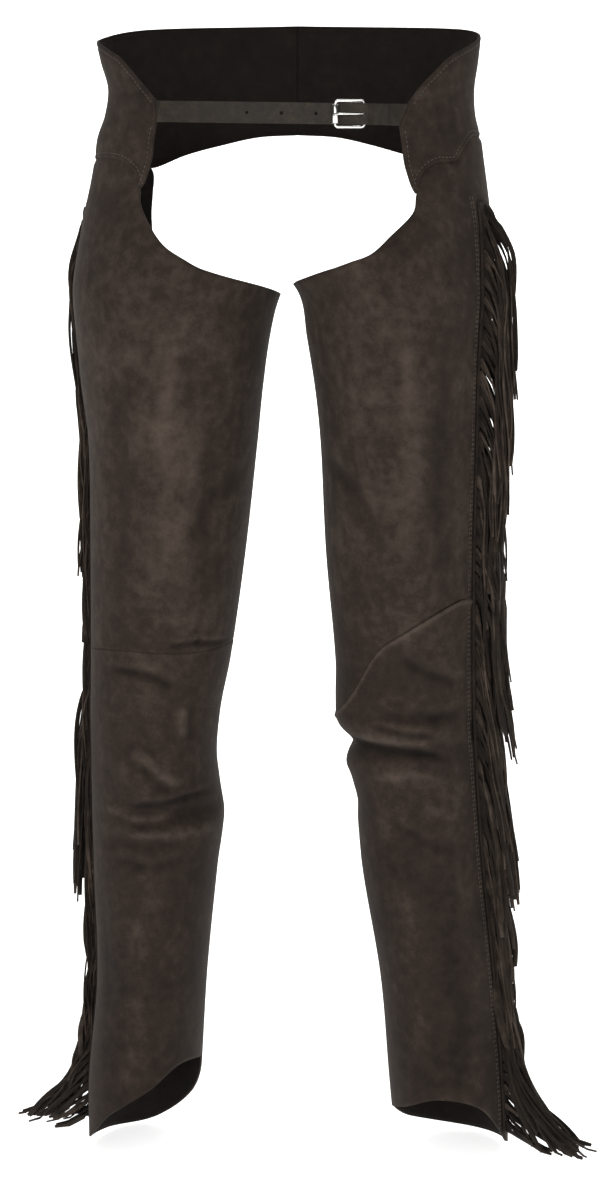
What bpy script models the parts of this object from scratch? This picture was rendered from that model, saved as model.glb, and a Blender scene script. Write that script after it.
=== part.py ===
"""Fringed shotgun chaps in black-brown suede, worn shape, in metres with +Z up.

+X is the wearer's left, +Y is the back, and the origin is the centre of the waist ring at the
height of the belt. Each leg is a hide tube in two panels, upper and lower, with a hip yoke above
it. A plain lap joins the yokes behind, and a narrow belt with a roller buckle joins them in front.
A fringe runs down each outer seam. Every wall is cloth of real thickness, hollow inside.
"""

import math
import random
from collections import namedtuple

import bmesh
import bpy
from mathutils import Matrix, Vector

MM = 0.001

# Cloth and seams
WALL = 1.8 * MM
SEAM_GAP = 0.3 * MM
YOKE_SEAM_LIFT = 1.4 * SEAM_GAP
COLUMNS = 32
SHARP_ANGLE = math.radians(40.0)
WELD = 0.01 * MM

# Belt and buckle
STRAP_HEIGHT = 19.0 * MM
STRAP_WALL = 2.0 * MM
BELT_MID_HEIGHT = 2.0 * MM
BELT_FALL = 1.5 * MM
BELT_HALF_SPAN = 112.0 * MM
BELT_END_GAP = 0.5 * MM
BELT_END_STEP = 4.0 * MM
TIP_TAPER = 0.32
HOLE_RADIUS = 1.7 * MM
HOLE_DEPTH = 12.0 * MM
HOLE_PLACES = (-29.0, 2.0, 33.0)
BILLET_SLOT = (63.0 * MM, 74.2 * MM)
BILLET_SLOT_LIFTS = (1.0 * MM, 12.0 * MM)
CHAPE_SLOT_REACH = (-6.0 * MM, 3.4 * MM)
CHAPE_SLOT_LIFTS = (-3.0 * MM, 12.0 * MM)
SLOT_ROOM = 0.6 * MM
ROLLER_PLACE = 49.0 * MM
HEEL_PLACE = 75.0 * MM
FRAME_WIRE = 1.3 * MM
FRAME_INNER_HALF_HEIGHT = 10.3 * MM
FRAME_CORNER = 3.0 * MM
FRAME_LIFT = 3.4 * MM
ROLLER_RADIUS = 2.8 * MM
ROLLER_END_ROOM = 0.2 * MM
PRONG_WIRE = 0.9 * MM
PRONG_WRAP = 250.0
PRONG_PAST_ROLLER = 1.5 * MM
CHAPE_MID_RADIUS = 2.6 * MM

# Fringe
STRIP_CLEARANCE = 0.6 * MM
STRIP_WALL = 2.0 * MM
LANES = 4
LANE_WIDTH = 5.8 * MM
ROW_PITCH = 18.0 * MM
STRAND_WIDTH = 5.2 * MM
STRAND_WALL = 1.5 * MM
STRAND_LENGTH = 158.0 * MM
STRAND_TWIST = math.radians(45.0)
ROOT_DROP = 18.0 * MM
ROOT_SWELL = 3.6 * MM
LOWEST_TIP = -961.0 * MM
STRAND_STEP = 6.0 * MM
LENGTH_SPREAD = (0.86, 1.08)
FLARE_TOP = -700.0 * MM
PLAIN_BENDS = 1
FLARE_BENDS = 4

# Real sizes of each leg's level sections, in millimetres from the waist's centre. "outer" and
# "inner" are the distances of the section's two sides from the body's centre plane, and an inner
# side below zero lies past it, so that the legs' sections grow into the ring of the hips.
Section = namedtuple("Section", "height outer inner front back")
SECTIONS = {
    "left": [
        Section(90, 179, -174, -101, 104),
        Section(71, 176, -171, -100, 104),
        Section(46, 173, -170, -100, 104),
        Section(24, 170, -170, -101, 104),
        Section(0, 171, -171, -103, 106),
        Section(-20, 176, -176, -105, 109),
        Section(-41, 179, -174, -107, 112),
        Section(-63, 182, -155, -110, 116),
        Section(-90, 185, -108, -112, 119),
        Section(-120, 185, -50, -114, 119),
        Section(-145, 184, -5, -114, 117),
        Section(-165, 184, 11, -114, 114),
        Section(-200, 182, 17, -111, 108),
        Section(-250, 180, 25, -107, 103),
        Section(-300, 179, 30, -102, 98),
        Section(-400, 177, 35, -92, 86),
        Section(-500, 177, 44, -83, 73),
        Section(-550, 178, 45, -79, 72),
        Section(-600, 180, 57, -75, 75),
        Section(-650, 183, 64, -72, 80),
        Section(-700, 187, 69, -71, 82),
        Section(-800, 197, 86, -73, 82),
        Section(-900, 205, 95, -81, 83),
        Section(-970, 207, 102, -88, 86),
    ],
    "right": [
        Section(90, 184, -182, -101, 104),
        Section(71, 178, -176, -100, 104),
        Section(46, 172, -171, -100, 104),
        Section(24, 166, -166, -101, 104),
        Section(0, 169, -169, -103, 106),
        Section(-20, 176, -176, -105, 109),
        Section(-41, 179, -174, -107, 112),
        Section(-63, 183, -155, -110, 116),
        Section(-90, 189, -108, -112, 119),
        Section(-120, 194, -50, -114, 119),
        Section(-145, 198, -5, -114, 117),
        Section(-165, 199, 8, -114, 114),
        Section(-200, 196, 17, -111, 108),
        Section(-250, 191, 24, -107, 103),
        Section(-300, 185, 29, -102, 98),
        Section(-400, 184, 40, -92, 86),
        Section(-500, 184, 54, -83, 73),
        Section(-550, 185, 64, -79, 72),
        Section(-600, 185, 68, -75, 75),
        Section(-650, 185, 62, -72, 80),
        Section(-700, 184, 68, -71, 82),
        Section(-800, 181, 78, -73, 82),
        Section(-900, 189, 84, -81, 83),
        Section(-970, 189, 90, -88, 86),
    ],
}

# The outer seam's place round the leg, in degrees from the front
SEAM_ANGLE = {"left": 74.0, "right": 100.0}

# The leg's top edge, from the outer seam round the front, the inside and the back: degrees from
# the front, height in millimetres, and how many columns of the wall lie before the next row.
# Its front and back corners are where the yoke begins and ends.
Edge = namedtuple("Edge", "angle height columns")
TOP_EDGE = {
    "left": [
        Edge(74, -20, 1), Edge(65, -33, 1), Edge(60, -42, 1), Edge(51, -43, 1),
        Edge(44, -53, 1), Edge(39, -70, 1), Edge(34, -87, 1), Edge(20, -107, 1),
        Edge(7, -122, 1), Edge(-7, -130, 1), Edge(-22, -137, 2), Edge(-51, -147, 3),
        Edge(-90, -156, 5), Edge(-154, -172, 2), Edge(-182, -165, 2), Edge(-205, -140, 1),
        Edge(-219, -101, 1), Edge(-225, -71, 1), Edge(-229, -46, 1), Edge(-238, -37, 1),
        Edge(-249, -28, 1), Edge(-264, -20, 2), Edge(-286, -20, 0),
    ],
    "right": [
        Edge(100, -42, 2), Edge(80, -40, 1), Edge(66, -39, 1), Edge(56, -41, 1),
        Edge(48, -50, 1), Edge(42, -65, 1), Edge(38, -80, 1), Edge(27, -101, 1),
        Edge(16, -116, 1), Edge(3, -127, 1), Edge(-12, -137, 2), Edge(-42, -149, 3),
        Edge(-90, -163, 5), Edge(-154, -174, 2), Edge(-182, -166, 2), Edge(-205, -141, 1),
        Edge(-218, -102, 1), Edge(-224, -74, 1), Edge(-228, -50, 1), Edge(-237, -42, 1),
        Edge(-248, -40, 2), Edge(-260, -42, 0),
    ],
}
FRONT_CORNER = {"left": 5, "right": 6}
BACK_CORNER = {"left": 27, "right": 28}

# Heights round the leg, as (degrees from the front, millimetres): the knee seam and the hem
KNEE_SEAM = {
    "left": [(-90, -553), (-66, -544), (-45, -526), (-20, -485), (3, -466), (30, -448), (52, -439),
             (75, -442), (120, -455), (180, -495), (230, -532), (270, -553)],
    "right": [(-90, -484), (-30, -488), (30, -486), (90, -492), (180, -496), (270, -484)],
}
HEM = {
    "left": [(-90, -925), (-47, -913), (-5, -900), (35, -910), (60, -934), (80, -954),
             (120, -964), (180, -964), (230, -950), (270, -925)],
    "right": [(-90, -881), (-46, -877), (-14, -897), (28, -922), (48, -939), (75, -956),
              (120, -965), (180, -964), (230, -930), (270, -881)],
}

# Level rows of the wall between the shaped edges, in millimetres
UPPER_LEVELS = (-200, -265, -335, -400)
UPPER_TOP_ROWS = 5
SEAM_ROWS = 2
LOWER_LEVELS = {
    "left": (-562, -572, -581, -591, -602, -616, -655, -735, -820),
    "right": (-520, -560, -600, -628, -640, -650, -661, -674, -700, -765, -820),
}

# The largest folds: place, reach up and down and round, how far out (a ridge) or in (a trough),
# and how far the fold climbs for each degree round the leg
Fold = namedtuple("Fold", "height angle tall wide out climb")
FOLDS = {
    "left": [
        Fold(-575, -20, 9, 62, -6.0, 0.0),
        Fold(-557, -8, 9, 55, 4.0, -0.05),
        Fold(-545, 8, 8, 34, -4.0, -0.05),
        Fold(-574, -90, 9, 30, -7.5, 0.0),
        Fold(-597, -80, 9, 40, 3.0, 0.0),
        Fold(-632, -90, 14, 40, -2.5, 0.0),
        Fold(-590, 205, 12, 60, -5.0, 0.05),
        Fold(-560, 190, 14, 60, 4.0, 0.0),
    ],
    "right": [
        Fold(-640, -35, 9, 60, -6.0, -0.08),
        Fold(-652, -10, 9, 55, 4.5, 0.0),
        Fold(-663, 5, 8, 36, -4.0, 0.0),
        Fold(-636, -88, 11, 34, 4.5, 0.0),
        Fold(-605, 10, 14, 26, 3.0, 0.9),
        Fold(-640, 200, 12, 60, -5.0, 0.05),
        Fold(-610, 190, 14, 60, 4.0, 0.0),
    ],
}
FOLD_FREE_BAND = 14.0

# The yoke's front edge and belt end, then the free edge behind, as (degrees, millimetres), and
# its top line. Its columns lean from the lower edge to these angles along the top.
YOKE_FRONT = {
    "left": [(38, -9.0), (38, -30), (38, -50)],
    "right": [(41.5, -6.0), (41, -25), (41, -45)],
}
YOKE_BACK = [(145, -37), (157, -28), (168, -21), (180, -19)]
YOKE_TOP_LINE = {
    "left": [(42, 10.0), (46, 22), (50, 32), (54, 41), (58, 49), (66, 58), (91, 71), (120, 79),
             (180, 83)],
    "right": [(43, 13.0), (46, 19), (51, 30), (55, 41), (61, 53), (78, 64), (100, 70), (130, 79),
              (180, 83)],
}
YOKE_TOP_COLUMNS = {
    "left": [(0, 42), (3, 54), (8, 78), (13, 135), (17, 180)],
    "right": [(0, 43), (3, 55), (9, 100), (13, 135), (17, 180)],
}
YOKE_ROWS = 5
LAP_COLUMNS = 1

# Fringe: where each strip starts and ends, how far the strands lean outwards, as millimetres out
# for each millimetre down, and how far they drift along the strip's width near the floor
STRIP_ENDS = {"left": (-78, -942), "right": (-80, -944)}
LEAN = {
    "left": [(0, 0.20), (-350, 0.20), (-450, 0.15), (-620, 0.13), (-720, 0.10), (-800, 0.10),
             (-850, 0.16), (-880, 0.32), (-920, 0.6), (-950, 1.0), (-970, 1.8)],
    "right": [(0, 0.10), (-700, 0.10), (-800, 0.10), (-850, 0.2), (-880, 0.5),
              (-920, 0.9), (-950, 1.2), (-970, 1.8)],
}
DRIFT = {
    "left": [(0, 0), (-860, 0), (-970, 10)],
    "right": [(0, 0), (-860, 0), (-900, 10), (-970, 48)],
}

# The straps' route past the buckle, in millimetres: place across the front, and how far out of the
# cloth's surface. The billet's row is its outer face, the chape's is the middle of its wall.
BILLET_ROUTE = [(42, 0), (48, 0), (52, 0), (56, 1.4), (61, 3.8), (66, 6.4), (70, 8.7), (73, 9.9),
                (76, 10.0), (79, 8.8), (82, 7.2), (86, 6.1), (90, 5.6), (94, 5.3)]
BILLET_COLUMNS = 14
CHAPE_START = [(95, -0.8), (84, -0.2), (79, 0.35)]
CHAPE_RETURN = [(77.8, 5.1), (80.5, 3.3), (84, 2.4), (90, 2.0), (96, 1.7)]

COLOURS = {
    "suede": (0.030, 0.022, 0.017, 1.0),
    "strap": (0.040, 0.031, 0.023, 1.0),
    "chrome": (0.62, 0.62, 0.60, 1.0),
}


def clear_scene():
    for thing in list(bpy.data.objects):
        bpy.data.objects.remove(thing, do_unlink=True)


def new_collection(name):
    collection = bpy.data.collections.new(name)
    bpy.context.scene.collection.children.link(collection)
    return collection


def material(name, slot, roughness, metallic=0.0):
    finish = bpy.data.materials.new(name)
    finish.use_nodes = True
    shader = finish.node_tree.nodes["Principled BSDF"]
    shader.inputs["Base Color"].default_value = COLOURS[slot]
    shader.inputs["Roughness"].default_value = roughness
    shader.inputs["Metallic"].default_value = metallic
    return finish


def smooth(pairs, place):
    """A smooth curve through (place, value) pairs, read at one place."""
    pairs = sorted(pairs)
    if place <= pairs[0][0]:
        return pairs[0][1]
    if place >= pairs[-1][0]:
        return pairs[-1][1]

    def slope(index):
        before = pairs[max(index - 1, 0)]
        after = pairs[min(index + 1, len(pairs) - 1)]
        return (after[1] - before[1]) / (after[0] - before[0])

    low = max(i for i in range(len(pairs) - 1) if pairs[i][0] <= place)
    (x0, y0), (x1, y1) = pairs[low], pairs[low + 1]
    width = x1 - x0
    t = (place - x0) / width
    rise = slope(low) * width
    fall = slope(low + 1) * width
    return ((2 * t**3 - 3 * t**2 + 1) * y0 + (t**3 - 2 * t**2 + t) * rise
            + (3 * t**2 - 2 * t**3) * y1 + (t**3 - t**2) * fall)


def straight(pairs, place):
    """Straight lines through (place, value) pairs, read at one place."""
    pairs = sorted(pairs)
    if place <= pairs[0][0]:
        return pairs[0][1]
    for (x0, y0), (x1, y1) in zip(pairs, pairs[1:]):
        if place <= x1:
            return y0 + (y1 - y0) * (place - x0) / (x1 - x0)
    return pairs[-1][1]


def side_sign(side):
    return 1.0 if side == "left" else -1.0


def section(side, height):
    """Centre and half sizes of the cloth's level section, all in metres."""
    column = {}
    for name in ("outer", "inner", "front", "back"):
        pairs = [(row.height * MM, getattr(row, name) * MM) for row in SECTIONS[side]]
        column[name] = smooth(pairs, height)
    centre_x = (column["outer"] + column["inner"]) / 2
    half_x = (column["outer"] - column["inner"]) / 2
    centre_y = (column["front"] + column["back"]) / 2
    half_y = (column["back"] - column["front"]) / 2
    return centre_x, half_x, centre_y, half_y


def turn_between(angle, centre):
    """Degrees from one angle round to another, between -180 and 180."""
    return (angle - centre + 180.0) % 360.0 - 180.0


def fold_height(side, height, angle):
    """How far the folds move the wall out of its plain section."""
    out = 0.0
    for fold in FOLDS[side]:
        turn = turn_between(angle, fold.angle)
        up = (height / MM - fold.height - fold.climb * turn) / fold.tall
        out += fold.out * MM * math.exp(-up**2 - (turn / fold.wide) ** 2)
    from_seam = abs(turn_between(angle, SEAM_ANGLE[side]))
    return out * min(1.0, max(0.0, (from_seam - FOLD_FREE_BAND / 2) / FOLD_FREE_BAND))


def outward(side, height, angle):
    """The level direction straight out of the cloth."""
    _, half_x, _, half_y = section(side, height)
    turn = math.radians(angle)
    return Vector((side_sign(side) * math.sin(turn) / half_x, -math.cos(turn) / half_y, 0)).normalized()


def skin(side, height, angle, out=0.0):
    """A point of the cloth's outer face, by height in metres and degrees from the front."""
    centre_x, half_x, centre_y, half_y = section(side, height)
    turn = math.radians(angle)
    point = Vector((
        side_sign(side) * (centre_x + half_x * math.sin(turn)),
        centre_y - half_y * math.cos(turn),
        height,
    ))
    move = out + fold_height(side, height, angle)
    return point + outward(side, height, angle) * move


def leg_columns(side):
    """Angle and height of each column's top, and its angle down the leg, in order round the leg."""
    tops = []
    rows = TOP_EDGE[side]
    for row, after in zip(rows, rows[1:]):
        for step in range(row.columns):
            share = step / row.columns
            tops.append((
                row.angle + (after.angle - row.angle) * share,
                (row.height + (after.height - row.height) * share) * MM,
            ))
    plain = [SEAM_ANGLE[side] - 360.0 * index / COLUMNS for index in range(COLUMNS)]
    return list(zip(tops, plain))


def round_height(table, angle):
    """A height table read at an angle, in metres."""
    wrapped = (angle + 90.0) % 360.0 - 90.0
    return smooth(table, wrapped) * MM


def leg_rows(side):
    """Two grids of (height, angle), the upper panel's and the lower panel's, row by row."""
    upper, lower = [], []
    for (top_angle, top_height), plain_angle in leg_columns(side):
        knee = round_height(KNEE_SEAM[side], plain_angle)
        hem = round_height(HEM[side], plain_angle)
        column = []
        first = UPPER_LEVELS[0] * MM
        for row in range(UPPER_TOP_ROWS):
            share = row / UPPER_TOP_ROWS
            ease = share * share * (3 - 2 * share)
            column.append((
                top_height + (first - top_height) * share,
                top_angle + (plain_angle - top_angle) * ease,
            ))
        column += [(level * MM, plain_angle) for level in UPPER_LEVELS]
        last = UPPER_LEVELS[-1] * MM
        upper_end = knee + SEAM_GAP / 2
        for row in range(1, SEAM_ROWS + 1):
            column.append((last + (upper_end - last) * row / SEAM_ROWS, plain_angle))
        upper.append(column)

        column = []
        first = LOWER_LEVELS[side][0] * MM
        lower_start = knee - SEAM_GAP / 2
        for row in range(SEAM_ROWS + 1):
            column.append((lower_start + (first - lower_start) * row / (SEAM_ROWS + 1), plain_angle))
        column += [(level * MM, plain_angle) for level in LOWER_LEVELS[side]]
        column.append((hem, plain_angle))
        lower.append(column)
    return upper, lower


def add_object(collection, name, mesh, finish):
    thing = bpy.data.objects.new(name, mesh)
    thing.data.materials.clear()
    thing.data.materials.append(finish)
    collection.objects.link(thing)
    return thing


def loft(columns, closed):
    """A mesh of faces between columns of points, closed round to the first column or open."""
    shape = bmesh.new()
    lines = [[shape.verts.new(point) for point in column] for column in columns]
    join_columns(shape, lines, closed)
    return shape


def join_columns(shape, lines, closed):
    pairs = list(zip(lines, lines[1:]))
    if closed:
        pairs.append((lines[-1], lines[0]))
    for line, after in pairs:
        for row in range(len(line) - 1):
            shape.faces.new((line[row], line[row + 1], after[row + 1], after[row]))
    return pairs


def wall(outer, inner, closed):
    """A closed wall between an outer and an inner grid of points, with its cut edges."""
    shape = bmesh.new()
    outer = [[shape.verts.new(point) for point in column] for column in outer]
    inner = [[shape.verts.new(point) for point in column] for column in inner]
    inner_pairs = join_columns(shape, inner, closed)
    outer_pairs = join_columns(shape, outer, closed)
    for (line, after), (inner_line, inner_after) in zip(outer_pairs, inner_pairs):
        for row in (0, -1):
            shape.faces.new((line[row], after[row], inner_after[row], inner_line[row]))
    if not closed:
        for end in (0, -1):
            line, inner_line = outer[end], inner[end]
            for row in range(len(line) - 1):
                shape.faces.new((line[row], line[row + 1], inner_line[row + 1], inner_line[row]))
    bmesh.ops.recalc_face_normals(shape, faces=shape.faces[:])
    return shape


def face_out(shape):
    """Turn an open sheet's faces so that they point away from the middle of the garment."""
    shape.normal_update()
    middle = [face.calc_center_median() for face in shape.faces]
    votes = sum(1 if face.normal.x * at.x + face.normal.y * at.y > 0 else -1
                for face, at in zip(shape.faces, middle))
    if votes < 0:
        bmesh.ops.reverse_faces(shape, faces=shape.faces[:])


def finish_mesh(shape, name):
    mesh = bpy.data.meshes.new(name)
    shape.to_mesh(mesh)
    shape.free()
    mesh.shade_smooth()
    mesh.set_sharp_from_angle(angle=SHARP_ANGLE)
    return mesh


def solidify(thing, thickness, offset=-1.0):
    shell = thing.modifiers.new("wall", "SOLIDIFY")
    shell.thickness = thickness
    shell.offset = offset
    shell.use_even_offset = False


def grid_points(side, grid, out=0.0):
    return [[skin(side, height, angle, out) for height, angle in column] for column in grid]


def build_leg(collection, side, suede):
    """The upper and the lower panel of one leg, two tubes that meet at the knee seam."""
    for name, grid in zip(("upper_leg", "lower_leg"), leg_rows(side)):
        shape = wall(grid_points(side, grid), grid_points(side, grid, -WALL), closed=True)
        node = f"{name}_{side}"
        add_object(collection, node, finish_mesh(shape, node), suede)


def yoke_grid(side):
    """The yoke's grid of (height, angle), from the belt's end round to the centre of the back."""
    tops = [top for top, _ in leg_columns(side)]
    lower = [(angle, height * MM) for angle, height in YOKE_FRONT[side]]
    seam = list(range(FRONT_CORNER[side], -1, -1)) + list(range(COLUMNS - 1, BACK_CORNER[side] - 1, -1))
    lower += [(tops[index][0] % 360.0, tops[index][1] + YOKE_SEAM_LIFT) for index in seam]
    lower += [(angle, height * MM) for angle, height in YOKE_BACK]
    grid = []
    for index, (low_angle, low_height) in enumerate(lower):
        top_angle = straight(YOKE_TOP_COLUMNS[side], index)
        top_height = smooth(YOKE_TOP_LINE[side], top_angle) * MM
        column = []
        for row in range(YOKE_ROWS + 1):
            share = row / YOKE_ROWS
            column.append((
                low_height + (top_height - low_height) * share,
                low_angle + (top_angle - low_angle) * share,
            ))
        grid.append(column)
    return grid


def yoke_points(side, out=0.0):
    """The yoke's points at one depth, with its last column just short of the centre of the back."""
    columns = grid_points(side, yoke_grid(side), out)
    for point in columns[-1]:
        point.x = side_sign(side) * SEAM_GAP / 2
    return columns


def build_yoke(collection, side, suede):
    shape = wall(yoke_points(side), yoke_points(side, -WALL), closed=False)
    node = f"yoke_{side}"
    add_object(collection, node, finish_mesh(shape, node), suede)


def lap_points(out):
    """The points of both yokes beside the centre of the back, moved out, as one grid."""
    right = yoke_points("right", out)[-1 - LAP_COLUMNS:]
    left = yoke_points("left", out)[-1 - LAP_COLUMNS:-1]
    for point in right[-1]:
        point.x = 0.0
    return right + left[::-1]


def build_back_lap(collection, suede):
    """A plain piece over the seam where the yokes meet behind, made from their points moved out."""
    shape = wall(lap_points(SEAM_GAP + WALL), lap_points(SEAM_GAP), closed=False)
    add_object(collection, "back_lap", finish_mesh(shape, "back_lap"), suede)


def belt_height(place):
    """The height of the belt's middle, which falls a little towards the buckle's side."""
    return BELT_MID_HEIGHT - BELT_FALL * place / BELT_HALF_SPAN


def belt_side(place):
    return "left" if place >= 0 else "right"


def belt_angle(place):
    """Degrees from the front to a place across the belt, given in metres from the centre plane."""
    _, half_x, _, _ = section(belt_side(place), 0.0)
    return math.degrees(math.asin(abs(place) / half_x))


def belt_point(place, lift, up):
    """A point on or above the belt's line: across the front, out of the cloth, and up the strap."""
    side = belt_side(place)
    angle = belt_angle(place)
    point = skin(side, 0.0, angle, lift)
    point.z = belt_height(place) + up
    return point


def strap_columns(route):
    half = STRAP_HEIGHT / 2
    return [[belt_point(place, lift, -half), belt_point(place, lift, half)] for place, lift in route]


def front_edge_column(side, room):
    """The two corners of the yoke's belt end, moved along the belt by the seam's room."""
    column = [skin(side, height, angle) for height, angle in
              ((YOKE_FRONT[side][0][1] * MM, YOKE_FRONT[side][0][0]),
               (YOKE_TOP_LINE[side][0][1] * MM, YOKE_TOP_LINE[side][0][0]))]
    along = Vector((-side_sign(side), 0, 0))
    return [point + along * room for point in column]


def cutter(collection, name, shape):
    mesh = bpy.data.meshes.new(name)
    shape.to_mesh(mesh)
    shape.free()
    tool = bpy.data.objects.new(name, mesh)
    tool.hide_render = True
    tool.display_type = "WIRE"
    collection.objects.link(tool)
    return tool


def cut(thing, tool):
    boolean = thing.modifiers.new("cut_" + tool.name, "BOOLEAN")
    boolean.operation = "DIFFERENCE"
    boolean.object = tool


def belt_frame(place, lift):
    """A matrix at a place on the belt: X runs along it to the left, Y into the body and Z up."""
    side = belt_side(place)
    inward = -outward(side, 0.0, belt_angle(place))
    up = Vector((0, 0, 1))
    along = inward.cross(up).normalized()
    matrix = Matrix((along, inward, up)).transposed().to_4x4()
    matrix.translation = belt_point(place, lift, 0.0)
    return matrix


def hole_cutter(collection, index, place):
    shape = bmesh.new()
    turn = belt_frame(place, 0.0) @ Matrix.Rotation(math.radians(90), 4, "X")
    bmesh.ops.create_cone(shape, cap_ends=True, segments=10, radius1=HOLE_RADIUS, radius2=HOLE_RADIUS,
                          depth=HOLE_DEPTH, matrix=turn)
    return cutter(collection, f"hole_{index}", shape)


def slot_cutter(collection, name, low, high, lifts):
    """A box cut for the prong: from one place to another, through a range of lifts."""
    shape = bmesh.new()
    size = Matrix.Diagonal((high - low, lifts[1] - lifts[0], 2 * (PRONG_WIRE + SLOT_ROOM), 1.0))
    middle = belt_frame((low + high) / 2, (lifts[0] + lifts[1]) / 2)
    bmesh.ops.create_cube(shape, size=1.0, matrix=middle @ size)
    return cutter(collection, name, shape)


def build_billet(collection, cutters, strap):
    """The long strap, from the right yoke through the buckle, with its holes and pointed tip."""
    start = front_edge_column("right", BELT_END_GAP)
    first = max(point.x for point in start) + BELT_END_STEP
    last = BILLET_ROUTE[0][0] * MM
    plain = [(first + (last - first) * step / BILLET_COLUMNS, 0.0) for step in range(BILLET_COLUMNS)]
    past = [(place * MM, lift * MM) for place, lift in BILLET_ROUTE]
    columns = [start] + strap_columns(plain + past)
    for point in columns[-1]:
        point.z += (belt_height(BILLET_ROUTE[-1][0] * MM) - point.z) * TIP_TAPER
    shape = loft(columns, closed=False)
    face_out(shape)
    billet = add_object(collection, "belt_billet", finish_mesh(shape, "belt_billet"), strap)
    solidify(billet, STRAP_WALL)
    for index, place in enumerate(HOLE_PLACES):
        cut(billet, hole_cutter(cutters, index, place * MM))
    cut(billet, slot_cutter(cutters, "billet_slot", *BILLET_SLOT, BILLET_SLOT_LIFTS))


def buckle_matrix():
    """The buckle's own place: X along the belt, Y into the body, Z up, centred between its bars."""
    return belt_frame((ROLLER_PLACE + HEEL_PLACE) / 2, FRAME_LIFT)


def build_chape(collection, cutters, strap):
    """The short strap from the left yoke, folded round the buckle's heel bar and back on itself."""
    matrix = buckle_matrix()
    bar = (HEEL_PLACE - ROLLER_PLACE) / 2
    half = STRAP_HEIGHT / 2
    loop = []
    for degrees in range(-80, -281, -25):
        turn = math.radians(degrees)
        along = bar + CHAPE_MID_RADIUS * math.cos(turn)
        inward = -CHAPE_MID_RADIUS * math.sin(turn)
        loop.append([matrix @ Vector((along, inward, up)) for up in (-half, half)])
    start = front_edge_column("left", BELT_END_GAP)
    middle = outward("left", 0.0, YOKE_FRONT["left"][0][0]) * (STRAP_WALL / 2)
    columns = [[point - middle for point in start]]
    columns += strap_columns([(place * MM, rise * MM) for place, rise in CHAPE_START])
    columns += loop
    columns += strap_columns([(place * MM, rise * MM) for place, rise in CHAPE_RETURN])
    shape = loft(columns, closed=False)
    chape = add_object(collection, "belt_chape", finish_mesh(shape, "belt_chape"), strap)
    solidify(chape, STRAP_WALL, offset=0.0)
    low, high = (HEEL_PLACE + reach for reach in CHAPE_SLOT_REACH)
    cut(chape, slot_cutter(cutters, "chape_slot", low, high, CHAPE_SLOT_LIFTS))


def wire(collection, name, points, radius, finish, closed, resolution):
    """A round wire through points, as a mesh whose caps are welded."""
    curve = bpy.data.curves.new(name, "CURVE")
    curve.dimensions = "3D"
    curve.bevel_depth = radius
    curve.bevel_resolution = resolution
    curve.use_fill_caps = True
    line = curve.splines.new("POLY")
    line.points.add(len(points) - 1)
    for slot, point in zip(line.points, points):
        slot.co = (*point, 1.0)
    line.use_cyclic_u = closed
    guide = bpy.data.objects.new(name + "_wire", curve)
    bpy.context.scene.collection.objects.link(guide)
    bpy.context.view_layer.update()
    evaluated = guide.evaluated_get(bpy.context.evaluated_depsgraph_get())
    mesh = bpy.data.meshes.new_from_object(evaluated)
    bpy.data.objects.remove(guide, do_unlink=True)
    shape = bmesh.new()
    shape.from_mesh(mesh)
    bpy.data.meshes.remove(mesh)
    bmesh.ops.remove_doubles(shape, verts=shape.verts[:], dist=WELD)
    bmesh.ops.recalc_face_normals(shape, faces=shape.faces[:])
    return add_object(collection, name, finish_mesh(shape, name), finish)


def build_buckle(collection, chrome):
    """The frame of bent wire, the roller on its far bar, and the prong on its heel bar."""
    matrix = buckle_matrix()
    half_length = (HEEL_PLACE - ROLLER_PLACE) / 2
    half_height = FRAME_INNER_HALF_HEIGHT + FRAME_WIRE
    corners = ((1, 1, 0), (-1, 1, 90), (-1, -1, 180), (1, -1, 270))
    points = []
    for across, up, start in corners:
        centre_x = across * (half_length - FRAME_CORNER)
        centre_z = up * (half_height - FRAME_CORNER)
        for step in range(4):
            turn = math.radians(start + 30 * step)
            points.append(matrix @ Vector((
                centre_x + FRAME_CORNER * math.cos(turn), 0, centre_z + FRAME_CORNER * math.sin(turn))))
    wire(collection, "buckle_frame", points, FRAME_WIRE, chrome, closed=True, resolution=1)

    inner = FRAME_WIRE + SEAM_GAP
    half = half_height - FRAME_CORNER - ROLLER_END_ROOM
    profile = [(inner, half), (ROLLER_RADIUS, half), (ROLLER_RADIUS, -half), (inner, -half)]
    shape = bmesh.new()
    ring = [shape.verts.new((radius, 0, height)) for radius, height in profile]
    edges = [shape.edges.new((corner, after)) for corner, after in zip(ring, ring[1:] + ring[:1])]
    bmesh.ops.spin(shape, geom=ring + edges, cent=(0, 0, 0), axis=(0, 0, 1), angle=math.tau,
                   steps=14, use_merge=True)
    bmesh.ops.recalc_face_normals(shape, faces=shape.faces[:])
    shape.transform(matrix @ Matrix.Translation((-half_length, 0, 0)))
    add_object(collection, "buckle_roller", finish_mesh(shape, "buckle_roller"), chrome)

    loop_radius = FRAME_WIRE + SEAM_GAP + PRONG_WIRE
    tip = Vector((-2 * half_length - PRONG_PAST_ROLLER, ROLLER_RADIUS + SEAM_GAP + PRONG_WIRE))
    leave = 90 + math.degrees(math.atan2(tip.y - loop_radius, -tip.x))
    route = []
    steps = 11
    for step in range(steps + 1):
        turn = math.radians(leave - PRONG_WRAP * (1 - step / steps))
        route.append((loop_radius * math.cos(turn), loop_radius * math.sin(turn)))
    route.append((tip.x * 0.5, (loop_radius + tip.y) / 2))
    route.append((tip.x, tip.y))
    points = [matrix @ Vector((half_length + along, -out, 0)) for along, out in route]
    wire(collection, "buckle_prong", points, PRONG_WIRE, chrome, closed=False, resolution=1)


def seam_line(side):
    """The outer seam's own points down the leg, which the fringe strip follows."""
    upper, lower = leg_rows(side)
    return [skin(side, height, angle) for height, angle in upper[0] + lower[0]]


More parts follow.
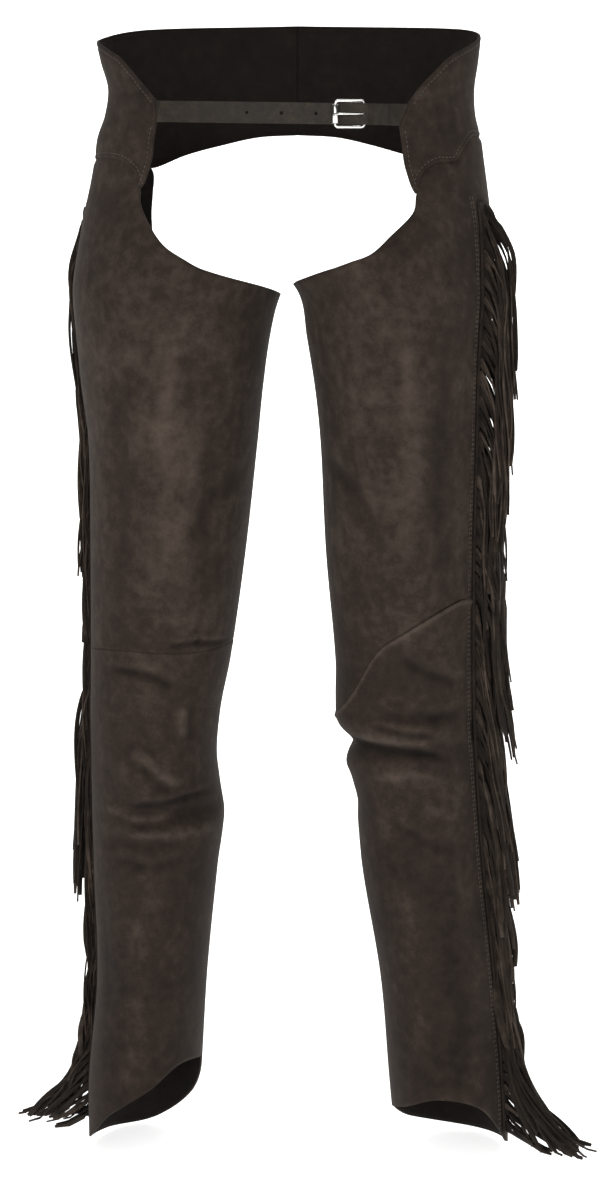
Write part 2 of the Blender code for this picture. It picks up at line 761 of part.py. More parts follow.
def on_seam(line, height):
    """The point of the seam's line at one height."""
    for above, below in zip(line, line[1:]):
        if height >= below.z:
            return above.lerp(below, (above.z - height) / (above.z - below.z))
    return line[-1].copy()


def running_total(table, start, end):
    """How much a leaning strand gathers between two heights, from a table of slopes."""
    step = 2.0 * MM
    count = max(1, round((start - end) / step))
    size = (start - end) / count
    return sum(straight(table, (start - size * (index + 0.5)) / MM) * size for index in range(count))


def strand_route(side, root_height, lane_place, length):
    """The middle of one strand, as (out of the seam, along the strip's width, height)."""
    strip_face = STRIP_CLEARANCE + STRIP_WALL
    drift_at_root = straight(DRIFT[side], root_height / MM) * MM
    route = []
    travelled = 0.0
    out_before = 0.0
    height = root_height
    while travelled < length and height > LOWEST_TIP:
        height = max(height - STRAND_STEP, LOWEST_TIP)
        drop = root_height - height
        swell = ROOT_SWELL * min(1.0, drop / ROOT_DROP)
        out = swell + running_total(LEAN[side], root_height, height)
        drift = straight(DRIFT[side], height / MM) * MM - drift_at_root
        route.append(Vector((strip_face + out, lane_place - drift, height)))
        travelled += math.hypot(STRAND_STEP, out - out_before)
        out_before = out
    return route


def ring_corners(centre, direction, across, twist):
    """Where the four corners of a strand's section lie, by the signs of its width and thickness."""
    inward = across.cross(direction).normalized()
    wide = inward * math.cos(twist) + across * math.sin(twist)
    thick = across * math.cos(twist) - inward * math.sin(twist)
    return {
        (a, b): centre + wide * (a * STRAND_WIDTH / 2) + thick * (b * STRAND_WALL / 2)
        for a in (-1, 1) for b in (-1, 1)
    }


def strip_ring(line, side, height):
    """One cross-section of the strip: its outer face in lanes, then its two inner corners."""
    angle = SEAM_ANGLE[side]
    out = outward(side, height, angle)
    across = Vector((0, 0, 1)).cross(out).normalized()
    base = on_seam(line, height)
    half = LANES * LANE_WIDTH / 2
    outer = [base + out * (STRIP_CLEARANCE + STRIP_WALL) + across * (lane * LANE_WIDTH - half)
             for lane in range(LANES + 1)]
    inner = [base + out * STRIP_CLEARANCE + across * half, base + out * STRIP_CLEARANCE - across * half]
    return outer + inner


def strand_points(side, line, route):
    """The strand's middle in space, read from the seam's line at each height."""
    points = []
    for place in route:
        out = outward(side, place.z, SEAM_ANGLE[side])
        across = Vector((0, 0, 1)).cross(out).normalized()
        points.append(on_seam(line, place.z) + out * place.x + across * place.y)
    return points


def grow_strand(shape, face, side, line, route, marks, twist):
    """Draw one strand out of its root face, ring by ring."""
    points = strand_points(side, line, route)
    root_out = outward(side, route[0].z, SEAM_ANGLE[side])
    across = Vector((0, 0, 1)).cross(root_out).normalized()
    root = face.calc_center_median()
    inward = across.cross(root_out)
    signs = []
    for corner in face.verts:
        offset = corner.co - root
        signs.append((1 if offset.dot(inward) > 0 else -1, 1 if offset.dot(across) > 0 else -1))
    for mark in marks:
        before = points[max(mark - 1, 0)]
        after = points[min(mark + 1, len(points) - 1)]
        corners = ring_corners(points[mark], (after - before).normalized(), across, twist)
        face = bmesh.ops.extrude_discrete_faces(shape, faces=[face])["faces"][0]
        for corner, sign in zip(face.verts, signs):
            corner.co = corners[sign]


def build_fringe(collection, side, suede):
    """A narrow strip outside the outer seam, with the strands drawn out of its outer face."""
    line = seam_line(side)
    top, bottom = (end * MM for end in STRIP_ENDS[side])
    rows = round((top - bottom) / ROW_PITCH)
    heights = [top - (top - bottom) * row / rows for row in range(rows + 1)]
    shape = bmesh.new()
    rings = [[shape.verts.new(point) for point in strip_ring(line, side, height)] for height in heights]
    lane_faces = {}
    size = len(rings[0])
    for row, (ring, below) in enumerate(zip(rings, rings[1:])):
        for index in range(size):
            after = (index + 1) % size
            face = shape.faces.new((ring[index], ring[after], below[after], below[index]))
            if index < LANES:
                lane_faces[row, index] = face
    shape.faces.new(rings[0])
    shape.faces.new(rings[-1])
    bmesh.ops.recalc_face_normals(shape, faces=shape.faces[:])

    chance = random.Random(7)
    for (row, lane), face in lane_faces.items():
        if (row + lane) % 2:
            continue
        root_height = (heights[row] + heights[row + 1]) / 2
        lane_place = (lane + 0.5 - LANES / 2) * LANE_WIDTH
        length = STRAND_LENGTH * chance.uniform(*LENGTH_SPREAD)
        route = strand_route(side, root_height, lane_place, length)
        last = len(route) - 1
        first = min(2, last)
        bends = PLAIN_BENDS if root_height > FLARE_TOP else FLARE_BENDS
        marks = sorted({first + round((last - first) * step / bends) for step in range(bends + 1)})
        twist = STRAND_TWIST if lane % 2 else -STRAND_TWIST
        grow_strand(shape, face, side, line, route, marks, twist)
    node = f"fringe_{side}"
    add_object(collection, node, finish_mesh(shape, node), suede)


def main():
    clear_scene()
    parts = new_collection("leather_chaps")
    cutters = new_collection("cutters")
    suede = material("suede", "suede", 0.9)
    strap = material("strap_leather", "strap", 0.6)
    chrome = material("chrome", "chrome", 0.2, 1.0)
    for side in ("left", "right"):
        build_leg(parts, side, suede)
        build_yoke(parts, side, suede)
        build_fringe(parts, side, suede)
    build_back_lap(parts, suede)
    build_billet(parts, cutters, strap)
    build_chape(parts, cutters, strap)
    build_buckle(parts, chrome)


main()
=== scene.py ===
# %% [markdown]
# Fringed suede chaps
#
# A pair of chaps is two hide tubes, one for each leg, hung from a narrow belt. The solids of the
# model give their true size and place. This lesson dresses them: it lays a finer skin of suede on
# each panel, hangs a lace fringe on each outer seam, sews the seams, and gives hide, strap, thread
# and chrome their finish.

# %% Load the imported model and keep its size
import math
import random

import bmesh
import bpy
from mathutils import Matrix, Vector


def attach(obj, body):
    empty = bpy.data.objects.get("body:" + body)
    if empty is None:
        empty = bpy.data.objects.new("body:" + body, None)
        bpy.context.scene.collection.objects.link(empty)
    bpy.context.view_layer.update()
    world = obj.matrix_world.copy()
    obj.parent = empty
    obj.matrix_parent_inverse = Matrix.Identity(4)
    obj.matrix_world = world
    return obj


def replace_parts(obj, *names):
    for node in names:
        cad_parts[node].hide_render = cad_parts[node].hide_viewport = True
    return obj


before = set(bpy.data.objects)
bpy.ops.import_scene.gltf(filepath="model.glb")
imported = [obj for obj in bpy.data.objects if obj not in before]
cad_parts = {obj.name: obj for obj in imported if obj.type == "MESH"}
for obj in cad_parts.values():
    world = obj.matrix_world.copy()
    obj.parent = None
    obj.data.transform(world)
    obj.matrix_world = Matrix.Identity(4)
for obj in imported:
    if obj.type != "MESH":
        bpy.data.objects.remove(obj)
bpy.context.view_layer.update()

MM = 0.001

# %% [markdown]
# Three helpers serve the whole lesson. Colours are picked as sRGB hex values, as on a paint card, and
# Blender mixes light in linear values, so one function turns one into the other. Another adds a
# shader node, sets it and links it in one call. The third makes a finished object out of a bmesh
# and lets it ride on the garment's only body.

# %% Helpers for colour, nodes and pieces
def linear(code):
    """An sRGB hex colour as the linear values that shaders use."""
    channels = [int(code[start:start + 2], 16) / 255 for start in (1, 3, 5)]
    return tuple(c / 12.92 if c <= 0.04045 else ((c + 0.055) / 1.055) ** 2.4 for c in channels) + (1.0,)


def add_node(tree, kind, inputs=None, **settings):
    """Add a node, set its properties, and fill each input with a value or a link."""
    node = tree.nodes.new(kind)
    for name, value in settings.items():
        setattr(node, name, value)
    for key, value in (inputs or {}).items():
        if isinstance(value, bpy.types.NodeSocket):
            tree.links.new(value, node.inputs[key])
        else:
            node.inputs[key].default_value = value
    return node


def add_piece(name, shape, *finishes):
    """Turn a bmesh into an object with its finishes, shaded smooth, riding on the garment."""
    mesh = bpy.data.meshes.new(name)
    shape.to_mesh(mesh)
    shape.free()
    mesh.shade_smooth()
    piece = bpy.data.objects.new(name, mesh)
    bpy.context.scene.collection.objects.link(piece)
    for finish in finishes:
        mesh.materials.append(finish)
    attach(piece, "root")
    return piece


# %% [markdown]
# The camera stands where the photographer stood: 3.6 m in front at waist height, turned a little to
# the wearer's left and tilted down to take in the hems. It is tilted and not shifted, so the other
# views keep the same lens without an offset.

# %% Camera
CAMERA_DISTANCE = 3.6
CAMERA_AZIMUTH = math.radians(4.5)
CAMERA_PITCH = math.radians(7.08)
CAMERA_SIDESTEP = 0.016
LENS_MM = 117.1

camera_data = bpy.data.cameras.new("studio_camera")
camera_data.lens = LENS_MM
camera_data.sensor_width = 36.0
camera = bpy.data.objects.new("studio_camera", camera_data)
side_way = Vector((math.cos(CAMERA_AZIMUTH), math.sin(CAMERA_AZIMUTH), 0))
camera.location = Vector((math.sin(CAMERA_AZIMUTH), -math.cos(CAMERA_AZIMUTH), 0)) * CAMERA_DISTANCE
camera.location += side_way * CAMERA_SIDESTEP
camera.rotation_euler = (math.radians(90) - CAMERA_PITCH, 0, CAMERA_AZIMUTH)
bpy.context.scene.collection.objects.link(camera)
bpy.context.scene.camera = camera
print("camera stands at", [round(value, 3) for value in camera.location])

# %% [markdown]
# The studio is a pale floor that curves up into a pale wall behind, as a roll of paper does, and
# three big soft lights. Most light comes from the front, so the round legs darken towards their
# sides. The wall is only a stage: it isn't part of the garment.

# %% Studio
FLOOR_HEIGHT = -0.970
PAPER_HALF_WIDTH = 9.0
PAPER_DEPTH = 7.0
PAPER_BEND = 1.5
PAPER_TOP = 6.0

paper_finish = bpy.data.materials.new("studio_paper")
paper_finish.use_nodes = True
paper_shader = paper_finish.node_tree.nodes["Principled BSDF"]
paper_shader.inputs["Base Color"].default_value = linear("#F4F4F2")
paper_shader.inputs["Roughness"].default_value = 0.9
paper_shader.inputs["Specular IOR Level"].default_value = 0.1
paper_shader.inputs["Emission Color"].default_value = linear("#FFFFFF")
paper_shader.inputs["Emission Strength"].default_value = 0.8

shape = bmesh.new()
corners = [shape.verts.new((x, -PAPER_DEPTH, FLOOR_HEIGHT)) for x in (-PAPER_HALF_WIDTH, PAPER_HALF_WIDTH)]
edge = shape.edges.new(corners)
floor_part = bmesh.ops.extrude_edge_only(shape, edges=[edge])["geom"]
moved = [part for part in floor_part if isinstance(part, bmesh.types.BMVert)]
bmesh.ops.translate(shape, verts=moved, vec=(0, 2 * PAPER_DEPTH, 0))
last_edge = [part for part in floor_part if isinstance(part, bmesh.types.BMEdge)]
bend = bmesh.ops.spin(shape, geom=moved + last_edge, cent=(0, PAPER_DEPTH, FLOOR_HEIGHT + PAPER_BEND),
                      axis=(1, 0, 0), angle=math.radians(90), steps=12)
wall_edge = [part for part in bend["geom_last"] if isinstance(part, bmesh.types.BMEdge)]
wall_part = bmesh.ops.extrude_edge_only(shape, edges=wall_edge)["geom"]
moved = [part for part in wall_part if isinstance(part, bmesh.types.BMVert)]
bmesh.ops.translate(shape, verts=moved, vec=(0, 0, PAPER_TOP))
bmesh.ops.recalc_face_normals(shape, faces=shape.faces[:])
mesh = bpy.data.meshes.new("studio_paper")
shape.to_mesh(mesh)
shape.free()
mesh.shade_smooth()
paper = bpy.data.objects.new("studio_paper", mesh)
mesh.materials.append(paper_finish)
bpy.context.scene.collection.objects.link(paper)


def soft_light(name, place, aim, width, height, power):
    lamp = bpy.data.lights.new(name, "AREA")
    lamp.shape = "RECTANGLE"
    lamp.size = width
    lamp.size_y = height
    lamp.energy = power
    light = bpy.data.objects.new(name, lamp)
    light.location = place
    light.rotation_euler = (Vector(aim) - Vector(place)).to_track_quat("-Z", "Y").to_euler()
    bpy.context.scene.collection.objects.link(light)


soft_light("key", (-1.2, -4.2, 1.4), (0, 0, -0.45), 2.2, 2.6, 74)
soft_light("fill", (1.3, -4.2, 0.6), (0, 0, -0.5), 2.4, 2.4, 44)
soft_light("paper_light", (0, 3.0, 4.5), (0, 6.5, 0.5), 8.0, 3.0, 350)
soft_light("floor_light", (0, -0.6, 4.2), (0, 0.4, -1.0), 6.0, 5.0, 70)

sky = bpy.data.worlds.new("studio_sky")
sky.use_nodes = True
# The camera sees a white room beyond the paper, which lights the garment only faintly
seen = add_node(sky.node_tree, "ShaderNodeLightPath").outputs["Is Camera Ray"]
strength = add_node(sky.node_tree, "ShaderNodeMapRange", {"Value": seen, "To Min": 0.05, "To Max": 1.0})
sky.node_tree.nodes["Background"].inputs["Color"].default_value = linear("#FFFFFF")
sky.node_tree.links.new(strength.outputs["Result"], sky.node_tree.nodes["Background"].inputs["Strength"])
bpy.context.scene.world = sky
bpy.context.scene.view_settings.view_transform = "Standard"

# %% [markdown]
# The form of the cloth is a stack of level ovals, the same that the solids were built on: at each
# height a table gives how far the cloth stands to the outside, the inside, the front and the back.
# A point of the cloth is then named by its height and by how far round the leg it lies: 0 degrees is
# the front, 90 the outside, 180 the back and -90 the inside.

# %% The form of the legs
SECTION_HEIGHTS = {
    "left": [(90, 179, -174), (71, 176, -171), (46, 173, -170), (24, 170, -170), (0, 171, -171),
             (-20, 176, -176), (-41, 179, -174), (-63, 182, -155), (-90, 185, -108), (-120, 185, -50),
             (-145, 184, -5), (-165, 184, 11), (-200, 182, 17), (-250, 180, 25), (-300, 179, 30),
             (-400, 177, 35), (-500, 177, 44), (-550, 178, 45), (-600, 180, 57), (-650, 183, 64),
             (-700, 187, 69), (-800, 197, 86), (-900, 205, 95), (-970, 207, 102)],
    "right": [(90, 184, -182), (71, 178, -176), (46, 172, -171), (24, 166, -166), (0, 169, -169),
              (-20, 176, -176), (-41, 179, -174), (-63, 183, -155), (-90, 189, -108), (-120, 194, -50),
              (-145, 198, -5), (-165, 199, 8), (-200, 196, 17), (-250, 191, 24), (-300, 185, 29),
              (-400, 184, 40), (-500, 184, 54), (-550, 185, 64), (-600, 185, 68), (-650, 185, 62),
              (-700, 184, 68), (-800, 181, 78), (-900, 189, 84), (-970, 189, 90)],
}
FRONT_AND_BACK = [(90, -101, 104), (46, -100, 104), (24, -101, 104), (0, -103, 106), (-20, -105, 109),
                  (-41, -107, 112), (-63, -110, 116), (-90, -112, 119), (-120, -114, 119),
                  (-145, -114, 117), (-165, -114, 114), (-200, -111, 108), (-250, -107, 103),
                  (-300, -102, 98), (-400, -92, 86), (-500, -83, 73), (-550, -79, 72), (-600, -75, 75),
                  (-650, -72, 80), (-700, -71, 82), (-800, -73, 82), (-900, -81, 83), (-970, -88, 86)]


def smooth(pairs, place):
    """A smooth curve through (place, value) pairs with rising places, read at one place."""
    if place <= pairs[0][0]:
        return pairs[0][1]
    if place >= pairs[-1][0]:
        return pairs[-1][1]
    low = max(i for i in range(len(pairs) - 1) if pairs[i][0] <= place)

    def slope(index):
        before = pairs[max(index - 1, 0)]
        after = pairs[min(index + 1, len(pairs) - 1)]
        return (after[1] - before[1]) / (after[0] - before[0])

    (x0, y0), (x1, y1) = pairs[low], pairs[low + 1]
    width = x1 - x0
    t = (place - x0) / width
    return ((2 * t**3 - 3 * t**2 + 1) * y0 + (t**3 - 2 * t**2 + t) * slope(low) * width
            + (3 * t**2 - 2 * t**3) * y1 + (t**3 - t**2) * slope(low + 1) * width)


def straight(pairs, place):
    """Straight lines through (place, value) pairs with rising places, read at one place."""
    if place <= pairs[0][0]:
        return pairs[0][1]
    for (x0, y0), (x1, y1) in zip(pairs, pairs[1:]):
        if place <= x1:
            return y0 + (y1 - y0) * (place - x0) / (x1 - x0)
    return pairs[-1][1]


def ease(share):
    """0 to 1 with a soft start and a soft end."""
    share = min(1.0, max(0.0, share))
    return share * share * (3 - 2 * share)


LOWEST, HIGHEST = -1000, 110


def oval_table(side):
    """Centre and half sizes of the level oval at each whole millimetre of height."""
    outer = sorted((height, out) for height, out, _ in SECTION_HEIGHTS[side])
    inner = sorted((height, into) for height, _, into in SECTION_HEIGHTS[side])
    front = sorted((height, fore) for height, fore, _ in FRONT_AND_BACK)
    back = sorted((height, aft) for height, _, aft in FRONT_AND_BACK)
    rows = []
    for height in range(LOWEST, HIGHEST + 1):
        x0, x1 = smooth(inner, height), smooth(outer, height)
        y0, y1 = smooth(front, height), smooth(back, height)
        rows.append(((x0 + x1) / 2, (x1 - x0) / 2, (y0 + y1) / 2, (y1 - y0) / 2))
    return rows


SIDES = ("left", "right")
SIGN = {"left": 1.0, "right": -1.0}
OVALS = {side: oval_table(side) for side in SIDES}


def oval(side, height):
    """The level oval at any height in millimetres, between two rows of the table."""
    place = min(max(height, LOWEST), HIGHEST - 0.001) - LOWEST
    row = int(place)
    share = place - row
    return [a + (b - a) * share for a, b in zip(OVALS[side][row], OVALS[side][row + 1])]


print("left calf in mm:", [round(value) for value in oval("left", -700)])

# %% [markdown]
# A hide this thick doesn't fall in sharp pleats. It buckles where the knee bends, in a few soft
# rolls, and hangs smooth between them. The largest rolls are in the solids already. The finer ones
# are listed here: each crease is a line drawn on the leg, given as places across the
# leg, from -1 at its inner side to 1 at its outer side, and heights. A crease sinks below the cloth
# with a low lip above it, and a ridge stands up.

# %% Folds and creases
ROLLS = {
    "left": [(-575, -20, 9, 62, -6.0, 0.0), (-557, -8, 9, 55, 4.0, -0.05), (-545, 8, 8, 34, -4.0, -0.05),
             (-574, -90, 9, 30, -7.5, 0.0), (-597, -80, 9, 40, 3.0, 0.0), (-632, -90, 14, 40, -2.5, 0.0),
             (-590, 205, 12, 60, -5.0, 0.05), (-560, 190, 14, 60, 4.0, 0.0)],
    "right": [(-640, -35, 9, 60, -6.0, -0.08), (-652, -10, 9, 55, 4.5, 0.0), (-663, 5, 8, 36, -4.0, 0.0),
              (-636, -88, 11, 34, 4.5, 0.0), (-605, 10, 14, 26, 3.0, 0.9), (-640, 200, 12, 60, -5.0, 0.05),
              (-610, 190, 14, 60, 4.0, 0.0)],
}
SEAM_ANGLE = {"left": 74.0, "right": 100.0}
ROLL_FREE_BAND = 14.0

FRONT, BACK = 1, -1
# Which face, how deep (below zero) or high in millimetres, how wide, and the line's points
CREASES = {
    "left": [
        (FRONT, -1.7, 6, [(-0.05, -489), (0.35, -503), (0.80, -517)]),
        (FRONT, -1.0, 4, [(-0.25, -531), (0.02, -531)]),
        (FRONT, -1.6, 7, [(0.30, -545), (0.82, -543)]),
        (FRONT, -2.0, 4, [(-0.45, -553), (-0.02, -559), (0.42, -562)]),
        (FRONT, 1.5, 5, [(-0.75, -563), (-0.15, -568), (0.45, -569)]),
        (FRONT, -2.0, 4, [(-0.95, -569), (-0.72, -571), (-0.40, -575), (0.20, -578), (0.60, -585)]),
        (FRONT, 1.4, 6, [(-0.60, -602), (0.10, -596), (0.50, -604)]),
        (FRONT, -1.6, 5, [(0.86, -552), (0.93, -563), (0.96, -576)]),
        (FRONT, -1.1, 6, [(-0.50, -640), (0.15, -662), (0.55, -668)]),
        (FRONT, 1.0, 7, [(0.10, -626), (0.60, -640)]),
        (FRONT, -0.9, 5, [(0.50, -852), (0.95, -855)]),
        (FRONT, -1.2, 9, [(-0.95, -306), (-0.60, -330), (-0.30, -372)]),
        (FRONT, 1.2, 12, [(0.15, -180), (0.20, -290), (0.10, -400)]),
        (FRONT, -1.2, 12, [(0.55, -210), (0.52, -320), (0.60, -430)]),
        (FRONT, -1.0, 11, [(0.30, -700), (0.36, -800), (0.25, -900)]),
        (FRONT, 0.9, 12, [(-0.30, -690), (-0.24, -790), (-0.35, -880)]),
        (BACK, -2.4, 6, [(-0.80, -520), (-0.10, -509), (0.70, -522)]),
        (BACK, 1.8, 7, [(-0.75, -538), (0.05, -527), (0.60, -540)]),
        (BACK, -2.0, 5, [(-0.90, -552), (-0.25, -545), (0.45, -556)]),
        (BACK, -2.2, 6, [(-0.60, -598), (0.15, -590), (0.80, -604)]),
        (BACK, 1.5, 8, [(-0.50, -618), (0.25, -610), (0.75, -624)]),
        (BACK, -1.2, 10, [(0.20, -660), (0.30, -760), (0.15, -880)]),
        (BACK, 1.2, 12, [(-0.35, -240), (-0.30, -340), (-0.40, -450)]),
        (BACK, -1.2, 10, [(0.40, -220), (0.45, -330), (0.35, -440)]),
    ],
    "right": [
        (FRONT, -1.8, 3.5, [(-0.20, -481), (-0.60, -478), (-0.97, -482)]),
        (FRONT, -1.0, 3, [(-0.62, -470), (-0.60, -482)]),
        (FRONT, -2.1, 5, [(0.62, -503), (0.22, -505), (-0.05, -509), (-0.36, -519)]),
        (FRONT, 1.7, 6, [(-0.50, -538), (-0.53, -568)]),
        (FRONT, -1.1, 5, [(-0.66, -536), (-0.68, -572)]),
        (FRONT, 2.2, 7, [(0.20, -573), (-0.03, -587), (-0.24, -601), (-0.55, -613)]),
        (FRONT, -1.3, 6, [(0.08, -592), (-0.15, -606), (-0.45, -620)]),
        (FRONT, -2.2, 4, [(0.30, -631), (-0.22, -628), (-0.98, -620)]),
        (FRONT, 1.9, 5, [(0.68, -633), (0.28, -642), (-0.45, -639)]),
        (FRONT, -1.6, 4, [(0.30, -650), (-0.25, -649)]),
        (FRONT, 1.4, 5, [(0.30, -659), (-0.48, -659)]),
        (FRONT, -1.2, 6, [(0.55, -682), (-0.10, -688), (-0.50, -681)]),
        (FRONT, -0.8, 7, [(0.80, -706), (0.70, -780), (0.60, -835)]),
        (FRONT, -1.2, 9, [(-0.95, -320), (-0.60, -345), (-0.35, -390)]),
        (FRONT, 1.2, 12, [(-0.10, -190), (-0.05, -300), (-0.15, -410)]),
        (FRONT, -1.2, 12, [(-0.60, -260), (-0.55, -360), (-0.62, -450)]),
        (FRONT, -1.0, 12, [(0.45, -230), (0.50, -330), (0.42, -430)]),
        (FRONT, 0.9, 12, [(0.10, -720), (0.05, -820), (0.15, -900)]),
        (BACK, -2.4, 6, [(-0.80, -545), (-0.05, -533), (0.75, -548)]),
        (BACK, 1.8, 7, [(-0.70, -562), (0.10, -552), (0.65, -566)]),
        (BACK, -2.0, 5, [(-0.50, -588), (0.20, -579), (0.85, -592)]),
        (BACK, -2.2, 6, [(-0.85, -628), (-0.10, -618), (0.60, -633)]),
        (BACK, 1.5, 8, [(-0.55, -650), (0.15, -641), (0.70, -655)]),
        (BACK, -1.2, 10, [(-0.20, -680), (-0.30, -780), (-0.20, -880)]),
        (BACK, 1.2, 12, [(0.30, -240), (0.35, -340), (0.30, -450)]),
        (BACK, -1.2, 10, [(-0.40, -230), (-0.42, -340), (-0.35, -440)]),
    ],
}
LIP_SHARE = 0.35
CREASE_DEPTH = 1.5
CREASE_WIDTH = 0.78


def turn_between(angle, centre):
    """Degrees from one angle round to another, between -180 and 180."""
    return (angle - centre + 180.0) % 360.0 - 180.0


def roll_height(side, height, angle):
    """How far the large rolls at the knee move the cloth, in millimetres."""
    out = 0.0
    for middle, centre, tall, wide, size, climb in ROLLS[side]:
        turn = turn_between(angle, centre)
        up = (height - middle - climb * turn) / tall
        out += size * math.exp(-up**2 - (turn / wide) ** 2)
    from_seam = abs(turn_between(angle, SEAM_ANGLE[side]))
    return out * min(1.0, max(0.0, (from_seam - ROLL_FREE_BAND / 2) / ROLL_FREE_BAND))


def crease_height(side, height, angle):
    """How far the fine creases move the cloth, in millimetres."""
    turn = math.radians(angle)
    face = FRONT if math.cos(turn) > 0 else BACK
    half_x = oval(side, height)[1]
    here = Vector((math.sin(turn) * half_x, height))
    out = 0.0
    for crease_face, size, width, line in CREASES[side]:
        if crease_face != face:
            continue
        width *= CREASE_WIDTH
        reach = 4 * width
        if not min(h for _, h in line) - reach < height < max(h for _, h in line) + reach:
            continue
        nearest, along, above = None, 0.0, 0.0
        for index, ((a, low), (b, high)) in enumerate(zip(line, line[1:])):
            start = Vector((a * half_x, low))
            step = Vector((b * half_x, high)) - start
            share = min(1.0, max(0.0, (here - start).dot(step) / step.length_squared))
            gap = here - start - step * share
            if nearest is None or gap.length < nearest:
                nearest = gap.length
                along = (index + share) / (len(line) - 1)
                above = gap.y if abs(step.x) > abs(step.y) else gap.x
        fade = ease(min(along, 1 - along) * 5 + 0.15)
        size *= CREASE_DEPTH
        out += size * fade * math.exp(-(nearest / width) ** 2)
        if size < 0:
            lip = (nearest - 2.0 * width) / width
            out -= LIP_SHARE * size * fade * math.exp(-lip**2) * (above > 0)
    return out * abs(math.cos(turn)) ** 0.4


def cloth_point(side, height, angle, out=0.0, creased=True):
    """The cloth's outer face in metres, and the level direction out of it."""
    centre_x, half_x, centre_y, half_y = oval(side, height)
    turn = math.radians(angle)
    normal = Vector((SIGN[side] * math.sin(turn) / half_x, -math.cos(turn) / half_y, 0)).normalized()
    move = out + roll_height(side, height, angle)
    if creased:
        move += crease_height(side, height, angle)
    point = Vector((
        SIGN[side] * (centre_x + half_x * math.sin(turn)),
        centre_y - half_y * math.cos(turn),
        height,
    ))
    return (point + normal * move) * MM, normal


print("creases drawn:", {side: len(lines) for side, lines in CREASES.items()})

# %% [markdown]
# Each leg's top edge runs from the outer seam round the front scoop, the inside, the seat scoop and
# back. The hides meet at the knee seam and end at the hem. These edges are tables of angle and
# height, read as smooth curves, so the scoops come out as clean as a knife cuts them.

# %% The edges of the panels
COLUMNS = 32
TOP_EDGE = {
    "left": [(0, 74, -20), (1, 65, -33), (2, 60, -42), (3, 51, -43), (4, 44, -53), (5, 39, -70),
             (6, 34, -87), (7, 20, -107), (8, 7, -122), (9, -7, -130), (10, -22, -137), (12, -51, -147),
             (15, -90, -156), (20, -154, -172), (22, -182, -165), (24, -205, -140), (25, -219, -101),
             (26, -225, -71), (27, -229, -46), (28, -238, -37), (29, -249, -28), (30, -264, -20),
             (32, -286, -20)],
    "right": [(0, 100, -42), (2, 80, -40), (3, 66, -39), (4, 56, -41), (5, 48, -50), (6, 42, -65),
              (7, 38, -80), (8, 27, -101), (9, 16, -116), (10, 3, -127), (11, -12, -137),
              (13, -42, -149), (16, -90, -163), (21, -154, -174), (23, -182, -166), (25, -205, -141),
              (26, -218, -102), (27, -224, -74), (28, -228, -50), (29, -237, -42), (30, -248, -40),
              (32, -260, -42)],
}
FRONT_CORNER = {"left": 5, "right": 6}
BACK_CORNER = {"left": 27, "right": 28}
TOP_SETTLES = -200
KNEE_SEAM = {
    "left": [(-90, -553), (-66, -544), (-45, -526), (-20, -485), (3, -466), (30, -448), (52, -439),
             (75, -442), (120, -455), (180, -495), (230, -532), (270, -553)],
    "right": [(-90, -484), (-30, -488), (30, -486), (90, -492), (180, -496), (270, -484)],
}
HEM = {
    "left": [(-90, -925), (-47, -913), (-5, -900), (35, -910), (60, -934), (80, -954),
             (120, -964), (180, -964), (230, -950), (270, -925)],
    "right": [(-90, -881), (-46, -877), (-14, -897), (28, -922), (48, -939), (75, -956),
              (120, -965), (180, -964), (230, -930), (270, -881)],
}
SEAM_GAP = 0.3
LAP = 7.0
LAP_DEPTH = 2.3


def top_edge(side, column):
    """Angle and height of the leg's top edge at a place counted in columns round the leg."""
    angle = smooth([(place, turn) for place, turn, _ in TOP_EDGE[side]], column)
    height = smooth([(place, high) for place, _, high in TOP_EDGE[side]], column)
    return angle, height


def round_height(table, angle):
    """A seam's or a hem's height in millimetres at an angle."""
    return smooth(table, (angle + 90.0) % 360.0 - 90.0)


def under_yoke(side, column):
    """1 where the leg's top edge lies under the yoke, and 0 along the free scoops."""
    front = ease((FRONT_CORNER[side] - 0.1 - column) / 0.8)
    back = ease((column - BACK_CORNER[side] - 0.1) / 0.8)
    return max(front, back)


def upper_place(side, column, share):
    """Height, angle and sinking of the upper panel: share 0 is its top edge, 1 its end at the knee.

    Past each seam the hide runs on under the next panel, as in a real lapped seam.
    """
    top_angle, top_height = top_edge(side, column)
    plain_angle = SEAM_ANGLE[side] - 360.0 * column / COLUMNS
    knee = round_height(KNEE_SEAM[side], plain_angle)
    lap = LAP * under_yoke(side, column)
    height = top_height + lap + (knee - LAP - top_height - lap) * share
    settled = ease((top_height - height) / (top_height - TOP_SETTLES))
    angle = top_angle + (plain_angle - top_angle) * settled
    sunk = ease((height - top_height + 3) / 4) if lap > 0.5 else 0.0
    sunk += ease((knee + 1 - height) / 4)
    return height, angle, -LAP_DEPTH * sunk


def lower_place(side, column, share):
    """Height, angle and lift of the lower panel, whose top edge is turned over a narrow welt."""
    angle = SEAM_ANGLE[side] - 360.0 * column / COLUMNS
    knee = round_height(KNEE_SEAM[side], angle)
    hem = round_height(HEM[side], angle)
    height = knee + (hem - knee) * share
    welt = WELT_HEIGHT[side] * math.exp(-((height - knee + 2.2) / 2.6) ** 2)
    return height, angle, welt


WELT_HEIGHT = {"left": 1.6, "right": 0.25}
